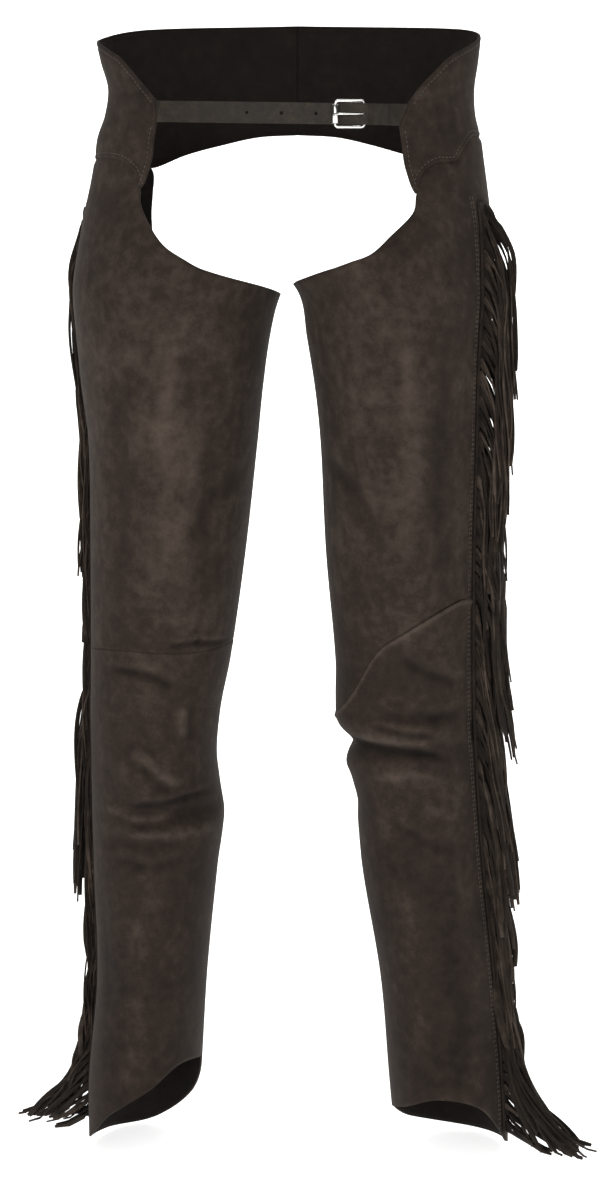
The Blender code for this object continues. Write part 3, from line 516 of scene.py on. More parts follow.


# %% [markdown]
# Wear isn't painted by hand on the real thing, and needn't be here. Knees, thighs and the ridges of folds rub
# lighter. Each panel gets a number at every point, its wear and shade, worked out from where the point lies and
# how far the creases lift it. Besides the rubbing it holds painted shade in crease troughs and along rolled edges
# and stitch grooves, painted highlight on the knee welt and, in part, on the fronts of the thighs, and a tone that
# grows darker towards the hem. The suede's material reads that number.

# %% Wear and painted shade
# Lighter patches on the front, partly rubbed hide and partly painted highlight: place across the leg's front, height,
# reach across in millimetres, reach in height, and strength
WORN_AND_HIGHLIT_PATCHES = {
    "left": [(-0.10, -250, 50, 110, 0.07), (0.25, -150, 40, 60, 0.05), (0.05, -430, 45, 80, 0.05),
             (0.20, -660, 40, 70, 0.05)],
    "right": [(-0.05, -290, 60, 120, 0.10), (-0.30, -430, 40, 70, 0.10), (0.25, -200, 40, 80, 0.07),
              (-0.20, -545, 35, 40, 0.08)],
}
WEAR_AT_REST = 0.46
DARKER_TOWARDS_HEM_BY = 0.10
# The lift of creases and rolls lightens ridges as rubbing and darkens troughs as painted shade
CREASE_WEAR_AND_SHADE = 0.10
ROLL_WEAR_AND_SHADE = 0.35
# Painted highlight along the top of the raised welt at the knee seam
WELT_HIGHLIGHT = 1.9


def wear_and_shade_at(side, height, angle, lifted):
    """How light the hide is drawn, from 0 to 1: rubbed hide, painted highlight on the front and on raised parts,
    painted shade where the hide sinks, and a tone darker towards the hem.
    """
    turn = math.radians(angle)
    half_x = oval(side, height)[1]
    # The hide is drawn darker towards the hem
    worn_and_shaded = WEAR_AT_REST - DARKER_TOWARDS_HEM_BY * ease((-300 - height) / 500)
    # Lighter patches on the front only, partly rubbing and partly painted highlight from the front light
    if math.cos(turn) > 0:
        for across, middle, wide, tall, size in WORN_AND_HIGHLIT_PATCHES[side]:
            away = (math.sin(turn) - across) * half_x / wide
            worn_and_shaded += size * math.exp(-away**2 - ((height - middle) / tall) ** 2)
    # Ridges are drawn lighter as rubbed hide, and troughs darker as painted shade
    return min(1.0, max(0.0, worn_and_shaded + lifted * CREASE_WEAR_AND_SHADE))


# %% [markdown]
# Split suede is the flesh side of a cowhide, buffed until its fibres stand up in a short nap. It
# scatters light, so it has no highlight, only a faint sheen, and its drum dye takes unevenly in
# blotches of two or three centimetres. Three noises at three real sizes give blotches, mottling
# and nap, and the number of wear and painted shade pushes the colour lighter or darker. The darker
# copy on the inner face is partly the inside's own tone and partly painted shade for the hollow legs.

# %% Suede
BLOTCH = 45 * MM
MOTTLE = 11 * MM
# The real nap is about 0.3 mm, too fine for this picture, so it is drawn at 1.6 mm
NAP = 1.6 * MM


def noise(tree, place, size, detail, roughness=0.5):
    """A noise whose lumps are one real size across."""
    return add_node(tree, "ShaderNodeTexNoise", {
        "Vector": place, "Scale": 1 / size, "Detail": detail, "Roughness": roughness,
    })


def scaled_add(tree, value, amount, base):
    """base + (value - 0.5) * amount, as one node."""
    centred = add_node(tree, "ShaderNodeMath", {0: value, 1: 0.5}, operation="SUBTRACT")
    return add_node(tree, "ShaderNodeMath", {0: centred.outputs[0], 1: amount, 2: base},
                    operation="MULTIPLY_ADD").outputs[0]


def blend_colours(tree, place, stops):
    ramp = add_node(tree, "ShaderNodeValToRGB", {"Fac": place})
    band = ramp.color_ramp
    while len(band.elements) < len(stops):
        band.elements.new(0.5)
    for element, (position, code) in zip(band.elements, stops):
        element.position = position
        element.color = linear(code)
    return ramp.outputs["Color"]


def napped_hide(name, stops, sheen, nap_height):
    finish = bpy.data.materials.new(name)
    finish.use_nodes = True
    tree = finish.node_tree
    shader = tree.nodes["Principled BSDF"]
    place = add_node(tree, "ShaderNodeTexCoord").outputs["Object"]
    blotches = noise(tree, place, BLOTCH, 3)
    mottles = noise(tree, place, MOTTLE, 5, 0.62)
    nap = noise(tree, place, NAP, 2, 0.7)
    # The wear number holds rubbing together with painted shade and painted highlight
    worn_and_shaded = add_node(tree, "ShaderNodeAttribute", attribute_name="wear_and_shade").outputs["Fac"]
    tone = scaled_add(tree, blotches.outputs["Fac"], 0.52, worn_and_shaded)
    tone = scaled_add(tree, mottles.outputs["Fac"], 0.85, tone)
    tone = scaled_add(tree, nap.outputs["Fac"], 0.28, tone)
    tree.links.new(blend_colours(tree, tone, stops), shader.inputs["Base Color"])
    grain = add_node(tree, "ShaderNodeBump", {
        "Height": nap.outputs["Fac"], "Distance": nap_height, "Strength": 0.6,
    })
    lumps = add_node(tree, "ShaderNodeBump", {
        "Height": mottles.outputs["Fac"], "Distance": 1.1 * MM, "Strength": 0.35,
        "Normal": grain.outputs["Normal"],
    })
    tree.links.new(lumps.outputs["Normal"], shader.inputs["Normal"])
    shader.inputs["Roughness"].default_value = 0.93
    shader.inputs["Specular IOR Level"].default_value = 0.22
    shader.inputs["Sheen Weight"].default_value = sheen
    shader.inputs["Sheen Roughness"].default_value = 0.55
    shader.inputs["Sheen Tint"].default_value = linear("#8A7F76")
    return finish


suede = napped_hide("buffed_split_suede", [(0.0, "#140F0C"), (0.45, "#2C231D"), (1.0, "#4E433B")],
                    0.10, 0.5 * MM)
# A darker copy of the suede for the inner face: partly the inside's own tone and partly painted shade for the hollow of
# each leg
inner_side_and_shade = napped_hide("suede_inner_side_and_shade", [(0.0, "#0D0A08"), (0.5, "#1A1411"), (1.0, "#2B231E")],
                         0.04, 0.7 * MM)
lace_suede = napped_hide("cut_lace_suede", [(0.0, "#120E0B"), (0.5, "#2A221C"), (1.0, "#564A41")],
                         0.12, 0.4 * MM)

# %% [markdown]
# The belt is vegetable-tanned strap leather, dyed olive-brown and rolled smooth: a fine pebbled grain
# with a soft shine. The buckle is bent steel wire, nickelled and chromed, so it is a near mirror with
# the faint drag marks of polishing. The sewing thread is waxed nylon, a shade lighter than the hide.

# %% Strap leather, chrome and thread
PEBBLE = 1.3 * MM
STREAK = 9 * MM


def rolled_strap():
    finish = bpy.data.materials.new("rolled_strap_leather")
    finish.use_nodes = True
    tree = finish.node_tree
    shader = tree.nodes["Principled BSDF"]
    place = add_node(tree, "ShaderNodeTexCoord").outputs["Object"]
    pebbles = add_node(tree, "ShaderNodeTexVoronoi", {"Vector": place, "Scale": 1 / PEBBLE})
    shades = noise(tree, place, STREAK, 5, 0.65)
    tone = scaled_add(tree, shades.outputs["Fac"], 1.3, 0.5)
    tone = scaled_add(tree, pebbles.outputs["Distance"], 0.35, tone)
    colour = blend_colours(tree, tone, [(0.0, "#130F0B"), (0.5, "#241D16"), (1.0, "#3B3227")])
    tree.links.new(colour, shader.inputs["Base Color"])
    rough = add_node(tree, "ShaderNodeMapRange", {"Value": shades.outputs["Fac"], "To Min": 0.58, "To Max": 0.74})
    tree.links.new(rough.outputs["Result"], shader.inputs["Roughness"])
    bump = add_node(tree, "ShaderNodeBump", {
        "Height": pebbles.outputs["Distance"], "Distance": 0.25 * MM, "Strength": 0.5,
    })
    tree.links.new(bump.outputs["Normal"], shader.inputs["Normal"])
    shader.inputs["Specular IOR Level"].default_value = 0.3
    return finish


def polished_chrome():
    finish = bpy.data.materials.new("chromed_steel_wire")
    finish.use_nodes = True
    tree = finish.node_tree
    shader = tree.nodes["Principled BSDF"]
    shader.inputs["Base Color"].default_value = linear("#E4E3DF")
    shader.inputs["Metallic"].default_value = 1.0
    place = add_node(tree, "ShaderNodeTexCoord").outputs["Object"]
    drag = noise(tree, place, 2.5 * MM, 4, 0.7)
    rough = add_node(tree, "ShaderNodeMapRange", {"Value": drag.outputs["Fac"], "To Min": 0.10, "To Max": 0.26})
    tree.links.new(rough.outputs["Result"], shader.inputs["Roughness"])
    return finish


def waxed_thread():
    finish = bpy.data.materials.new("waxed_nylon_thread")
    finish.use_nodes = True
    tree = finish.node_tree
    shader = tree.nodes["Principled BSDF"]
    place = add_node(tree, "ShaderNodeTexCoord").outputs["Object"]
    soil = noise(tree, place, 30 * MM, 3)
    colour = blend_colours(tree, soil.outputs["Fac"], [(0.3, "#3A322B"), (0.7, "#574D44")])
    tree.links.new(colour, shader.inputs["Base Color"])
    shader.inputs["Roughness"].default_value = 0.6
    return finish


strap_leather = rolled_strap()
chrome = polished_chrome()
thread = waxed_thread()

for node in ("belt_billet", "belt_chape"):
    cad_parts[node].data.materials.clear()
    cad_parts[node].data.materials.append(strap_leather)
for node in ("buckle_frame", "buckle_roller", "buckle_prong"):
    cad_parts[node].data.materials.clear()
    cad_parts[node].data.materials.append(chrome)
print("finishes:", [finish.name for finish in (suede, inner_side_and_shade, lace_suede, strap_leather, chrome, thread)])

# %% [markdown]
# Every panel starts as a flat grid, as hide does on the cutting table. Each point of the grid is then
# moved to its place on the leg, and a Solidify modifier gives the hide its 1.8 mm. Working from the
# same level ovals as the solids keeps the skin exactly where the solid is.

# %% Cut and hang the leg panels
HIDE_THICKNESS = 1.8 * MM
PANEL_COLUMNS = 192
PANEL_ROWS = 150
ROW_CROWDING = 1.3
WELD = 0.05 * MM


def cut_panel(name, columns, rows, place, round_leg, middle_x):
    """Move a grid's points onto the body and give them their wear and painted shade, then add the hide's thickness.

    place takes shares across and down the panel and gives a point and its wear and shade.
    """
    shape = bmesh.new()
    bmesh.ops.create_grid(shape, x_segments=columns, y_segments=rows, size=0.5)
    wear_and_shade = shape.verts.layers.float.new("wear_and_shade")
    for vert in shape.verts:
        vert.co, vert[wear_and_shade] = place(vert.co.x + 0.5, 0.5 - vert.co.y)
    if round_leg:
        bmesh.ops.remove_doubles(shape, verts=shape.verts[:], dist=WELD)
    shape.normal_update()
    outward_faces = 0
    for face in shape.faces:
        middle = face.calc_center_median()
        outward_faces += 1 if face.normal.x * (middle.x - middle_x) + face.normal.y * middle.y > 0 else -1
    if outward_faces < 0:
        bmesh.ops.reverse_faces(shape, faces=shape.faces[:])
    area = sum(face.calc_area() for face in shape.faces)
    piece = add_piece(name, shape, suede, inner_side_and_shade)
    wall = piece.modifiers.new("hide_thickness", "SOLIDIFY")
    wall.thickness = HIDE_THICKNESS
    wall.offset = -1.0
    wall.material_offset = 1
    return piece, area


def leg_place(side, panel):
    """The placing rule of one leg panel, for cut_panel. Rows crowd towards the knee, where it folds."""
    def place(across, down):
        if panel is upper_place:
            down = 1 - (1 - down) ** ROW_CROWDING
        else:
            down = down**ROW_CROWDING
        height, angle, lift = panel(side, across * COLUMNS, down)
        point, _ = cloth_point(side, height, angle, lift)
        # Creases and rolls give lighter ridges as rubbing and darker troughs as painted shade
        lifted = crease_height(side, height, angle) + ROLL_WEAR_AND_SHADE * roll_height(side, height, angle)
        # The raised welt at the knee seam gets a painted highlight
        return point, wear_and_shade_at(side, height, angle, lifted + WELT_HIGHLIGHT * max(lift, 0.0))
    return place


def girth(side, height):
    """The way round the cloth's oval at a height, in metres, after Ramanujan's rule."""
    _, a, _, b = oval(side, height)
    return math.pi * (3 * (a + b) - math.sqrt((3 * a + b) * (a + 3 * b))) * MM


sheets = {}
for side in SIDES:
    for part, panel, widest, length in (("upper_leg", upper_place, -200, 0.50), ("lower_leg", lower_place, -560, 0.52)):
        node = f"{part}_{side}"
        hide, area = cut_panel(f"{node}_hide", PANEL_COLUMNS, PANEL_ROWS, leg_place(side, panel), True,
                               SIGN[side] * 0.11)
        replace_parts(hide, node)
        sheets[node] = (hide, girth(side, widest), length, area)
        print(node, "hide area in square metres:", round(area, 3))

# %% [markdown]
# The yokes are a second layer of hide over the top of each leg. They carry the belt in front and
# meet at the back, where a plain strap of hide laps over the join. Each edge is skived thin and
# rolled a little by its stitching, so the panel sinks at the rim and again in a groove at the thread.

# %% Yokes and back lap
# The yoke's lower edge: the belt end in front, then the leg's top edge, then the free back edge,
# as angle and height. Its top line has the same two values, and its columns fan out between them.
YOKE_FRONT = {"left": [(38, -9), (38, -30), (38, -50)], "right": [(41.5, -6), (41, -25), (41, -45)]}
YOKE_BACK = [(145, -37), (157, -28), (168, -21), (180, -19)]
YOKE_TOP_LINE = {
    "left": [(42, 10), (46, 22), (50, 32), (54, 41), (58, 49), (66, 58), (91, 71), (120, 79), (180, 83)],
    "right": [(43, 13), (46, 19), (51, 30), (55, 41), (61, 53), (78, 64), (100, 70), (130, 79), (180, 83)],
}
YOKE_TOP_COLUMNS = {
    "left": [(0, 42), (3, 54), (8, 78), (13, 135), (17, 180)],
    "right": [(0, 43), (3, 55), (9, 100), (13, 135), (17, 180)],
}
YOKE_SEAM_LIFT = 0.42
YOKE_GRID = (150, 52)
STITCH_INSET = 4.5
EDGE_ROLL = 0.9
STITCH_GROOVE = 0.55
YOKE_WEAR = -0.02


def yoke_lower_edge(side):
    """The yoke's lower edge as three rising columns: index, angle and height."""
    points = list(YOKE_FRONT[side])
    tops = {place: (turn, high) for place, turn, high in TOP_EDGE[side]}
    seam = list(range(FRONT_CORNER[side], -1, -1)) + list(range(COLUMNS - 1, BACK_CORNER[side] - 1, -1))
    for column in seam:
        angle, height = tops.get(column) or top_edge(side, column)
        points.append((angle % 360.0, height + YOKE_SEAM_LIFT))
    points += YOKE_BACK
    return points


YOKE_LOWER = {side: yoke_lower_edge(side) for side in SIDES}


def yoke_column(side, across):
    """The two ends of one line down the yoke: (angle, height) at its top and at its foot."""
    points = YOKE_LOWER[side]
    place = across * (len(points) - 1)
    foot_angle = smooth([(index, angle) for index, (angle, _) in enumerate(points)], place)
    foot_height = smooth([(index, height) for index, (_, height) in enumerate(points)], place)
    top_angle = smooth(YOKE_TOP_COLUMNS[side], place)
    return (top_angle, smooth(YOKE_TOP_LINE[side], top_angle)), (foot_angle, foot_height)


def towards_both_ends(share):
    """Even shares moved towards 0 and 1, so that the edges get more rows."""
    return share - 0.10 * math.sin(math.tau * share)


def flat_place(side, angle):
    """How far round the hip an angle lies, in millimetres along the cloth from the front."""
    turns = FLAT_PLACES[side]
    low = min(int(angle), len(turns) - 2)
    return turns[low] + (turns[low + 1] - turns[low]) * (angle - low)


def flat_places(side):
    _, half_x, _, half_y = oval(side, 0)
    places = [0.0]
    for degree in range(200):
        turn = math.radians(degree + 0.5)
        places.append(places[-1] + math.radians(1) * math.hypot(half_x * math.cos(turn), half_y * math.sin(turn)))
    return places


FLAT_PLACES = {side: flat_places(side) for side in SIDES}
RIM_STEPS = 90


def yoke_edge(side, edge, steps):
    """The yoke's top or foot, or its belt end, as (angle, height) from the front to the back."""
    if edge == "belt_end":
        return list(yoke_column(side, 0.0))
    end = 0 if edge == "top" else 1
    return [yoke_column(side, step / steps)[end] for step in range(steps + 1)]


def yoke_rim(side):
    """The yoke's whole rim but its back end, flattened, as straight pieces: start and step."""
    pieces = []
    for edge in ("top", "foot", "belt_end"):
        line = [Vector((flat_place(side, angle), height)) for angle, height in yoke_edge(side, edge, RIM_STEPS)]
        pieces += [(start, end - start) for start, end in zip(line, line[1:])]
    return pieces


RIMS = {side: yoke_rim(side) for side in SIDES}


def rim_distance(side, angle, height):
    """How far a place on the yoke lies from its nearest edge, in millimetres."""
    here = Vector((flat_place(side, angle), height))
    nearest = RIM_REACH**2
    for start, step in RIMS[side]:
        gap = here - start
        if abs(gap.y) > 2 * RIM_REACH or abs(gap.x) > 2 * RIM_REACH:
            continue
        share = min(1.0, max(0.0, gap.dot(step) / max(step.length_squared, 1e-9)))
        nearest = min(nearest, (gap - step * share).length_squared)
    return math.sqrt(nearest)


RIM_REACH = 12.0


def edge_relief(distance):
    """How far an edge's roll and its stitch groove move the hide, in millimetres."""
    roll = EDGE_ROLL * math.exp(-(distance / 1.3) ** 2)
    groove = STITCH_GROOVE * math.exp(-((distance - STITCH_INSET) / 1.2) ** 2)
    return -roll - groove


def yoke_place(side):
    def place(across, down):
        across = towards_both_ends(across)
        (top_angle, top), (foot_angle, foot) = yoke_column(side, across)
        down = towards_both_ends(down)
        height = top + (foot - top) * down
        angle = top_angle + (foot_angle - top_angle) * down
        relief = edge_relief(rim_distance(side, angle, height))
        point, _ = cloth_point(side, height, angle, relief)
        if across > 0.9999:
            point.x = SIGN[side] * SEAM_GAP / 2 * MM
        # The rolled edges and the stitch groove are drawn darker here: painted shade
        return point, wear_and_shade_at(side, height, angle, 1.2 * relief) + YOKE_WEAR
    return place


for side in SIDES:
    node = f"yoke_{side}"
    yoke, area = cut_panel(f"{node}_hide", *YOKE_GRID, yoke_place(side), False, 0.0)
    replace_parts(yoke, node)
    sheets[node] = (yoke, 0.46, 0.17, area)
    print(node, "area in square metres:", round(area, 4))


# How many degrees the lap reaches from the centre of the back, at its foot and at its top
LAP_REACH = {"foot": 12.0, "top": 11.25}
LAP_HALF_WIDTH = 37.0


def lap_spot(across, share):
    """The side, height and angle of a place on the back lap, with its top and foot there."""
    side = "left" if across > 0 else "right"
    foot_angle, top_angle = (180 - LAP_REACH[end] * abs(across) for end in ("foot", "top"))
    top = smooth(YOKE_TOP_LINE[side], top_angle)
    foot = smooth(YOKE_BACK, foot_angle) + 0.3
    return side, top + (foot - top) * share, top_angle + (foot_angle - top_angle) * share, top, foot


def lap_place(across, down):
    """The back lap: a strap over the join of the yokes, across the centre of the back."""
    across = (across - 0.5) * 2
    side, height, angle, top, foot = lap_spot(across, towards_both_ends(down))
    from_side = (1 - abs(across)) * LAP_HALF_WIDTH
    relief = sum(edge_relief(gap) for gap in (top - height, height - foot, from_side))
    point, _ = cloth_point(side, height, angle, SEAM_GAP + HIDE_THICKNESS / MM + max(relief, -1.0) * 0.6)
    # The lap's rolled edges and stitch grooves are drawn darker: painted shade
    return point, wear_and_shade_at(side, height, angle, 1.2 * relief)


lap, area = cut_panel("back_lap_hide", 48, 44, lap_place, False, 0.0)
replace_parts(lap, "back_lap")
sheets["back_lap"] = (lap, 0.085, 0.115, area)
print("back lap area in square metres:", round(area, 4))

# %% [markdown]
# Each leg's fringe is two strips of suede, one over the other, 170 mm wide, slashed across into laces
# about 5 mm wide and sewn along the outer seam by their uncut edges. Each lace bends over at its root, hangs down
# over the ones below, and twists and curls in its own way, so each is drawn as its own narrow
# ribbon with its own length, lean, curl and shade. The laces at the bottom spread out over the foot.

# %% Fringe
STRIP_ENDS = {"left": (-78, -942), "right": (-80, -944)}
STRIP_OUT = 1.6
STRIP_HALF_WIDTH = 11.6
LACE_WIDTH = 4.9
LACE_THICKNESS = 1.3 * MM
LACE_LENGTH = 158.0
LACE_SPREAD = (0.82, 1.10)
LACE_PITCH = 6.0
LACE_LANES = (-7.5, 0.5, 8.0)
LACE_STEPS = 22
FLARE_TOP = -730.0
ROOT_SWELL = {"left": 15.0, "right": 8.0}
ROOT_DROP = 46.0
LOWEST_TIP = -961.0
TIP_ROOM = 14.0
# Millimetres out for each millimetre down, by height, and drift along the strip's width
LEAN = {
    "left": [(-970, 1.9), (-950, 1.3), (-920, 0.8), (-880, 0.38), (-850, 0.12), (-800, 0.02),
             (-720, 0.03), (-660, 0.07), (-600, 0.13), (-540, 0.12), (-490, 0.04), (-440, 0.02),
             (-300, 0.03), (-200, 0.06), (0, 0.08)],
    "right": [(-970, 1.8), (-950, 1.2), (-920, 0.9), (-880, 0.5), (-850, 0.18), (-800, 0.05),
              (-700, 0.07), (-600, 0.04), (-450, 0.03), (-250, 0.04), (-150, 0.02), (0, 0.0)],
}
DRIFT = {"left": [(-970, 10), (-860, 0)], "right": [(-970, 48), (-900, 10), (-860, 0)]}
# Laces hang in clumps of so many rows, and each clump, from the top, bows out by its own share
CLUMP_ROWS = 12
CLUMPS = {
    "left": [1.1, 1.15, 1.05, 0.6, 1.35, 0.7, 0.8, 0.55, 0.45, 0.4, 0.75, 1.0],
    "right": [0.2, 0.55, 0.6, 0.4, 0.3, 0.4, 1.1, 0.4, 0.5, 0.4, 0.6, 1.0],
}
LACE_LEAN = (0.8, 1.15)
# A lace's waves in millimetres, their count, its twist at the root and by its tip, and its shade
WAVE_SIZE = (0.6, 3.2)
FLARED_WAVE_SIZE = (2.0, 8.0)
BULGE_SHARE = 0.85
WAVE_COUNT = (0.6, 1.7)
ROOT_TWIST = (-55.0, 55.0)
TIP_TWIST = 70.0
LACE_WEAR = (0.08, 0.62)


def seam_frame(side, height):
    """The outer seam's point at a height, the way out of it, and the way across the strip."""
    point, out = cloth_point(side, height, SEAM_ANGLE[side], creased=False)
    across = Vector((0, 0, 1)).cross(out).normalized()
    return point / MM, out, across


def lace_route(side, root, lane, lean_share, chance):
    """The lace's middle line in millimetres, as points with the way out and the way across."""
    length = LACE_LENGTH * chance.uniform(*LACE_SPREAD)
    lowest = LOWEST_TIP + chance.uniform(0, TIP_ROOM)
    wave = chance.uniform(*(WAVE_SIZE if root > FLARE_TOP else FLARED_WAVE_SIZE))
    count = chance.uniform(*WAVE_COUNT)
    phase = chance.uniform(0, math.tau)
    step = length / LACE_STEPS
    route = []
    height, leaned = root, 0.0
    for index in range(LACE_STEPS + 1):
        share = index / LACE_STEPS
        drop = root - height
        swell = ROOT_SWELL[side] * lean_share * math.sin(math.pi / 2 * min(drop / ROOT_DROP, 1.0))
        out = STRIP_OUT + swell + leaned
        drift = straight(DRIFT[side], height) - straight(DRIFT[side], root)
        curl = wave * ease(share * 2.5) * math.sin(phase + math.tau * count * share)
        bulge = BULGE_SHARE * wave * ease(share * 2.5) * math.cos(phase + math.tau * count * share * 0.8)
        point, outward, across = seam_frame(side, height)
        route.append((point + outward * max(out + bulge, STRIP_OUT) + across * (lane - drift + curl),
                      outward, across))
        lean = straight(LEAN[side], height) * lean_share
        fall = step / math.hypot(1, lean)
        if height - fall < lowest:
            lean, fall = 2.5 * lean, max(height - lowest, 0.0)
        leaned += lean * fall
        height -= fall
        if fall <= 0.0:
            break
    return route


def hang_lace(shape, side, root, lane, lean_share, chance):
    """Draw one lace as a ribbon, two faces wide, along its own route."""
    route = lace_route(side, root, lane, lean_share * chance.uniform(*LACE_LEAN), chance)
    twist_from = chance.uniform(*ROOT_TWIST)
    twist_by = chance.uniform(-TIP_TWIST, TIP_TWIST)
    shade = chance.uniform(*LACE_WEAR)
    width = LACE_WIDTH * chance.uniform(0.82, 1.1)
    last = len(route) - 1
    made = bmesh.ops.create_grid(shape, x_segments=2, y_segments=last, size=0.5)["verts"]
    wear_and_shade = shape.verts.layers.float["wear_and_shade"]
    for vert in made:
        row = round((0.5 - vert.co.y) * last)
        share = row / last
        point, outward, across = route[row]
        before, after = route[max(row - 1, 0)][0], route[min(row + 1, last)][0]
        direction = (after - before).normalized()
        inward = across.cross(direction).normalized()
        turn = math.radians(90 * (1 - ease(share * 6)) + (twist_from + twist_by * share) * ease(share * 6))
        wide = across * math.cos(turn) + inward * math.sin(turn)
        thick = across * math.sin(turn) - inward * math.cos(turn)
        narrow = 1 - 0.45 * ease((share - 0.9) / 0.1)
        side_share = 2 * vert.co.x
        cup = 0.35 * (1 - side_share**2)
        vert.co = (point + wide * side_share * width * narrow / 2 + thick * cup) * MM
        vert[wear_and_shade] = min(1.0, shade + 0.10 * abs(side_share) + 0.10 * ease((share - 0.9) / 0.1))


def hang_fringe(side):
    """The strip along one outer seam, with every lace sewn to it."""
    chance = random.Random(11)
    shape = bmesh.new()
    wear_and_shade = shape.verts.layers.float.new("wear_and_shade")
    top, bottom = STRIP_ENDS[side]
    for vert in bmesh.ops.create_grid(shape, x_segments=6, y_segments=120, size=0.5)["verts"]:
        point, out, across = seam_frame(side, bottom + (top - bottom) * (vert.co.y + 0.5))
        place = 2 * vert.co.x * STRIP_HALF_WIDTH
        vert.co = (point + out * (STRIP_OUT - 0.5 * abs(2 * vert.co.x) ** 4) + across * place) * MM
        vert[wear_and_shade] = 0.34
    rows = round((top - bottom) / LACE_PITCH)
    for row in range(rows):
        root = top - (top - bottom) * (row + 0.5) / rows
        clump_lean = CLUMPS[side][row // CLUMP_ROWS]
        for index, lane in enumerate(LACE_LANES):
            if (row + index) % 3 == 0:
                continue
            place = (root + chance.uniform(-2, 2), lane + chance.uniform(-1.5, 1.5))
            hang_lace(shape, side, *place, clump_lean, chance)
    area = sum(face.calc_area() for face in shape.faces)
    piece = add_piece(f"fringe_{side}_laces", shape, lace_suede)
    wall = piece.modifiers.new("lace_thickness", "SOLIDIFY")
    wall.thickness = LACE_THICKNESS
    wall.offset = 0.0
    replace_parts(piece, f"fringe_{side}")
    return piece, area


for side in SIDES:
    fringe, area = hang_fringe(side)
    sheets[f"fringe_{side}"] = (fringe, 1.80, 0.17, area)
    print(f"fringe_{side}: area in square metres", round(area, 3), "faces", len(fringe.data.polygons))

# %% [markdown]
# A heavy machine sews the hide with waxed thread, six stitches to the inch. Each stitch is a short,
# thick dash that dips into the hide at both ends. One small capsule, laid again and again along a
# line on the cloth, makes every row: round each yoke's rim, down both sides of the back lap, and two
# rows beside each outer seam, which hold the fringe strip. The knee seams are sewn from inside, so
# no thread shows there.

# %% Stitching
STITCH_PITCH = 4.3
STITCH_LENGTH = 3.3
STITCH_WIDTH = 0.85
STITCH_HEIGHT = 0.6
LINE_STEP = 60
SEAM_ROWS = (-15.0, -18.6)
LAP_STITCH_ENDS = 0.04


shape = bmesh.new()
bmesh.ops.create_uvsphere(shape, u_segments=6, v_segments=5, radius=0.5)
one_stitch = bpy.data.meshes.new("one_stitch")
shape.to_mesh(one_stitch)
shape.free()


def sew(shape, line):
    """Lay stitches along a line of (point in millimetres, way out of the hide)."""
    travelled, wanted = 0.0, STITCH_PITCH / 2
    for (start, out), (end, _) in zip(line, line[1:]):
        step = end - start
        if step.length < 1e-6:
            continue
        along = step.normalized()
        side_way = out.cross(along).normalized()
        lift = along.cross(side_way)
        while wanted <= travelled + step.length:
            centre = start + along * (wanted - travelled)
            turned = Matrix((along * STITCH_LENGTH, side_way * STITCH_WIDTH, lift * STITCH_HEIGHT))
            place = turned.transposed().to_4x4()
            place.translation = centre + lift * STITCH_HEIGHT * 0.15
            dash = one_stitch.copy()
            dash.transform(Matrix.Scale(MM, 4) @ place)
            shape.from_mesh(dash, face_normals=False)
            bpy.data.meshes.remove(dash)
            wanted += STITCH_PITCH
        travelled += step.length


def line_on_cloth(side, places, out=0.0):
    """Points on one leg's cloth at (height, angle) places, moved out."""
    line = []
    for height, angle in places:
        point, normal = cloth_point(side, height, angle, out)
        line.append((point / MM, normal))
    return line


def inset_places(side, places, inset):
    """Places (height, angle) along an edge, moved sideways on the cloth by an inset."""
    moved = []
    for index, (angle, height) in enumerate(places):
        before, after = places[max(index - 1, 0)], places[min(index + 1, len(places) - 1)]
        along = Vector((flat_place(side, after[0]) - flat_place(side, before[0]), after[1] - before[1]))
        sideways = Vector((-along.y, along.x)).normalized() * inset
        degree = flat_place(side, angle + 0.5) - flat_place(side, angle - 0.5)
        moved.append((height + sideways.y, angle + sideways.x / degree))
    return moved


for side in SIDES:
    shape = bmesh.new()
    for edge, inset in (("top", -STITCH_INSET), ("foot", STITCH_INSET)):
        places = inset_places(side, yoke_edge(side, edge, LINE_STEP * 3)[2:-4], inset)
        sew(shape, line_on_cloth(side, places, -STITCH_GROOVE))
    top, bottom = STRIP_ENDS[side]
    for row in SEAM_ROWS:
        line = []
        for step in range(LINE_STEP * 4 + 1):
            height = top + 6 - (top + 6 - bottom) * step / (LINE_STEP * 4)
            half = oval(side, height)[3]
            point, normal = cloth_point(side, height, SEAM_ANGLE[side] + math.degrees(row / half))
            line.append((point / MM, normal))
        sew(shape, line)
    lap_row = []
    for step in range(LINE_STEP + 1):
        share = LAP_STITCH_ENDS + (1 - 2 * LAP_STITCH_ENDS) * step / LINE_STEP
        _, height, angle, _, _ = lap_spot(SIGN[side] * (1 - STITCH_INSET / LAP_HALF_WIDTH), share)
        lap_row += line_on_cloth(side, [(height, angle)], SEAM_GAP + HIDE_THICKNESS / MM - 0.3)
    sew(shape, lap_row)
    stitches = add_piece(f"stitches_{side}", shape, thread)
    print(stitches.name, "stitches:", len(stitches.data.vertices) // len(one_stitch.vertices))

# %% [markdown]
# The buckle is a roller buckle: a frame of steel wire bent to a rounded rectangle, a tube that turns
# on its far bar so the strap slides easily, and a prong wrapped round the heel bar. Real wire has no
# flats, so the three are drawn again here as round wires and a turned tube of the solids' sizes.

# %% Buckle
STRAP_FALL = 1.5 / 112
BELT_MID = 2.0
ROLLER_PLACE, HEEL_PLACE = 49.0, 75.0
FRAME_LIFT = 3.4
FRAME_WIRE = 1.3
FRAME_HALF_HEIGHT = 11.6
FRAME_CORNER = 3.0
ROLLER_RADIUS, ROLLER_HALF = 2.8, 8.4
ROLLER_EDGE = 0.35
PRONG_WIRE = 0.9
PRONG_WRAP = 250.0
PRONG_PAST_ROLLER = 1.5


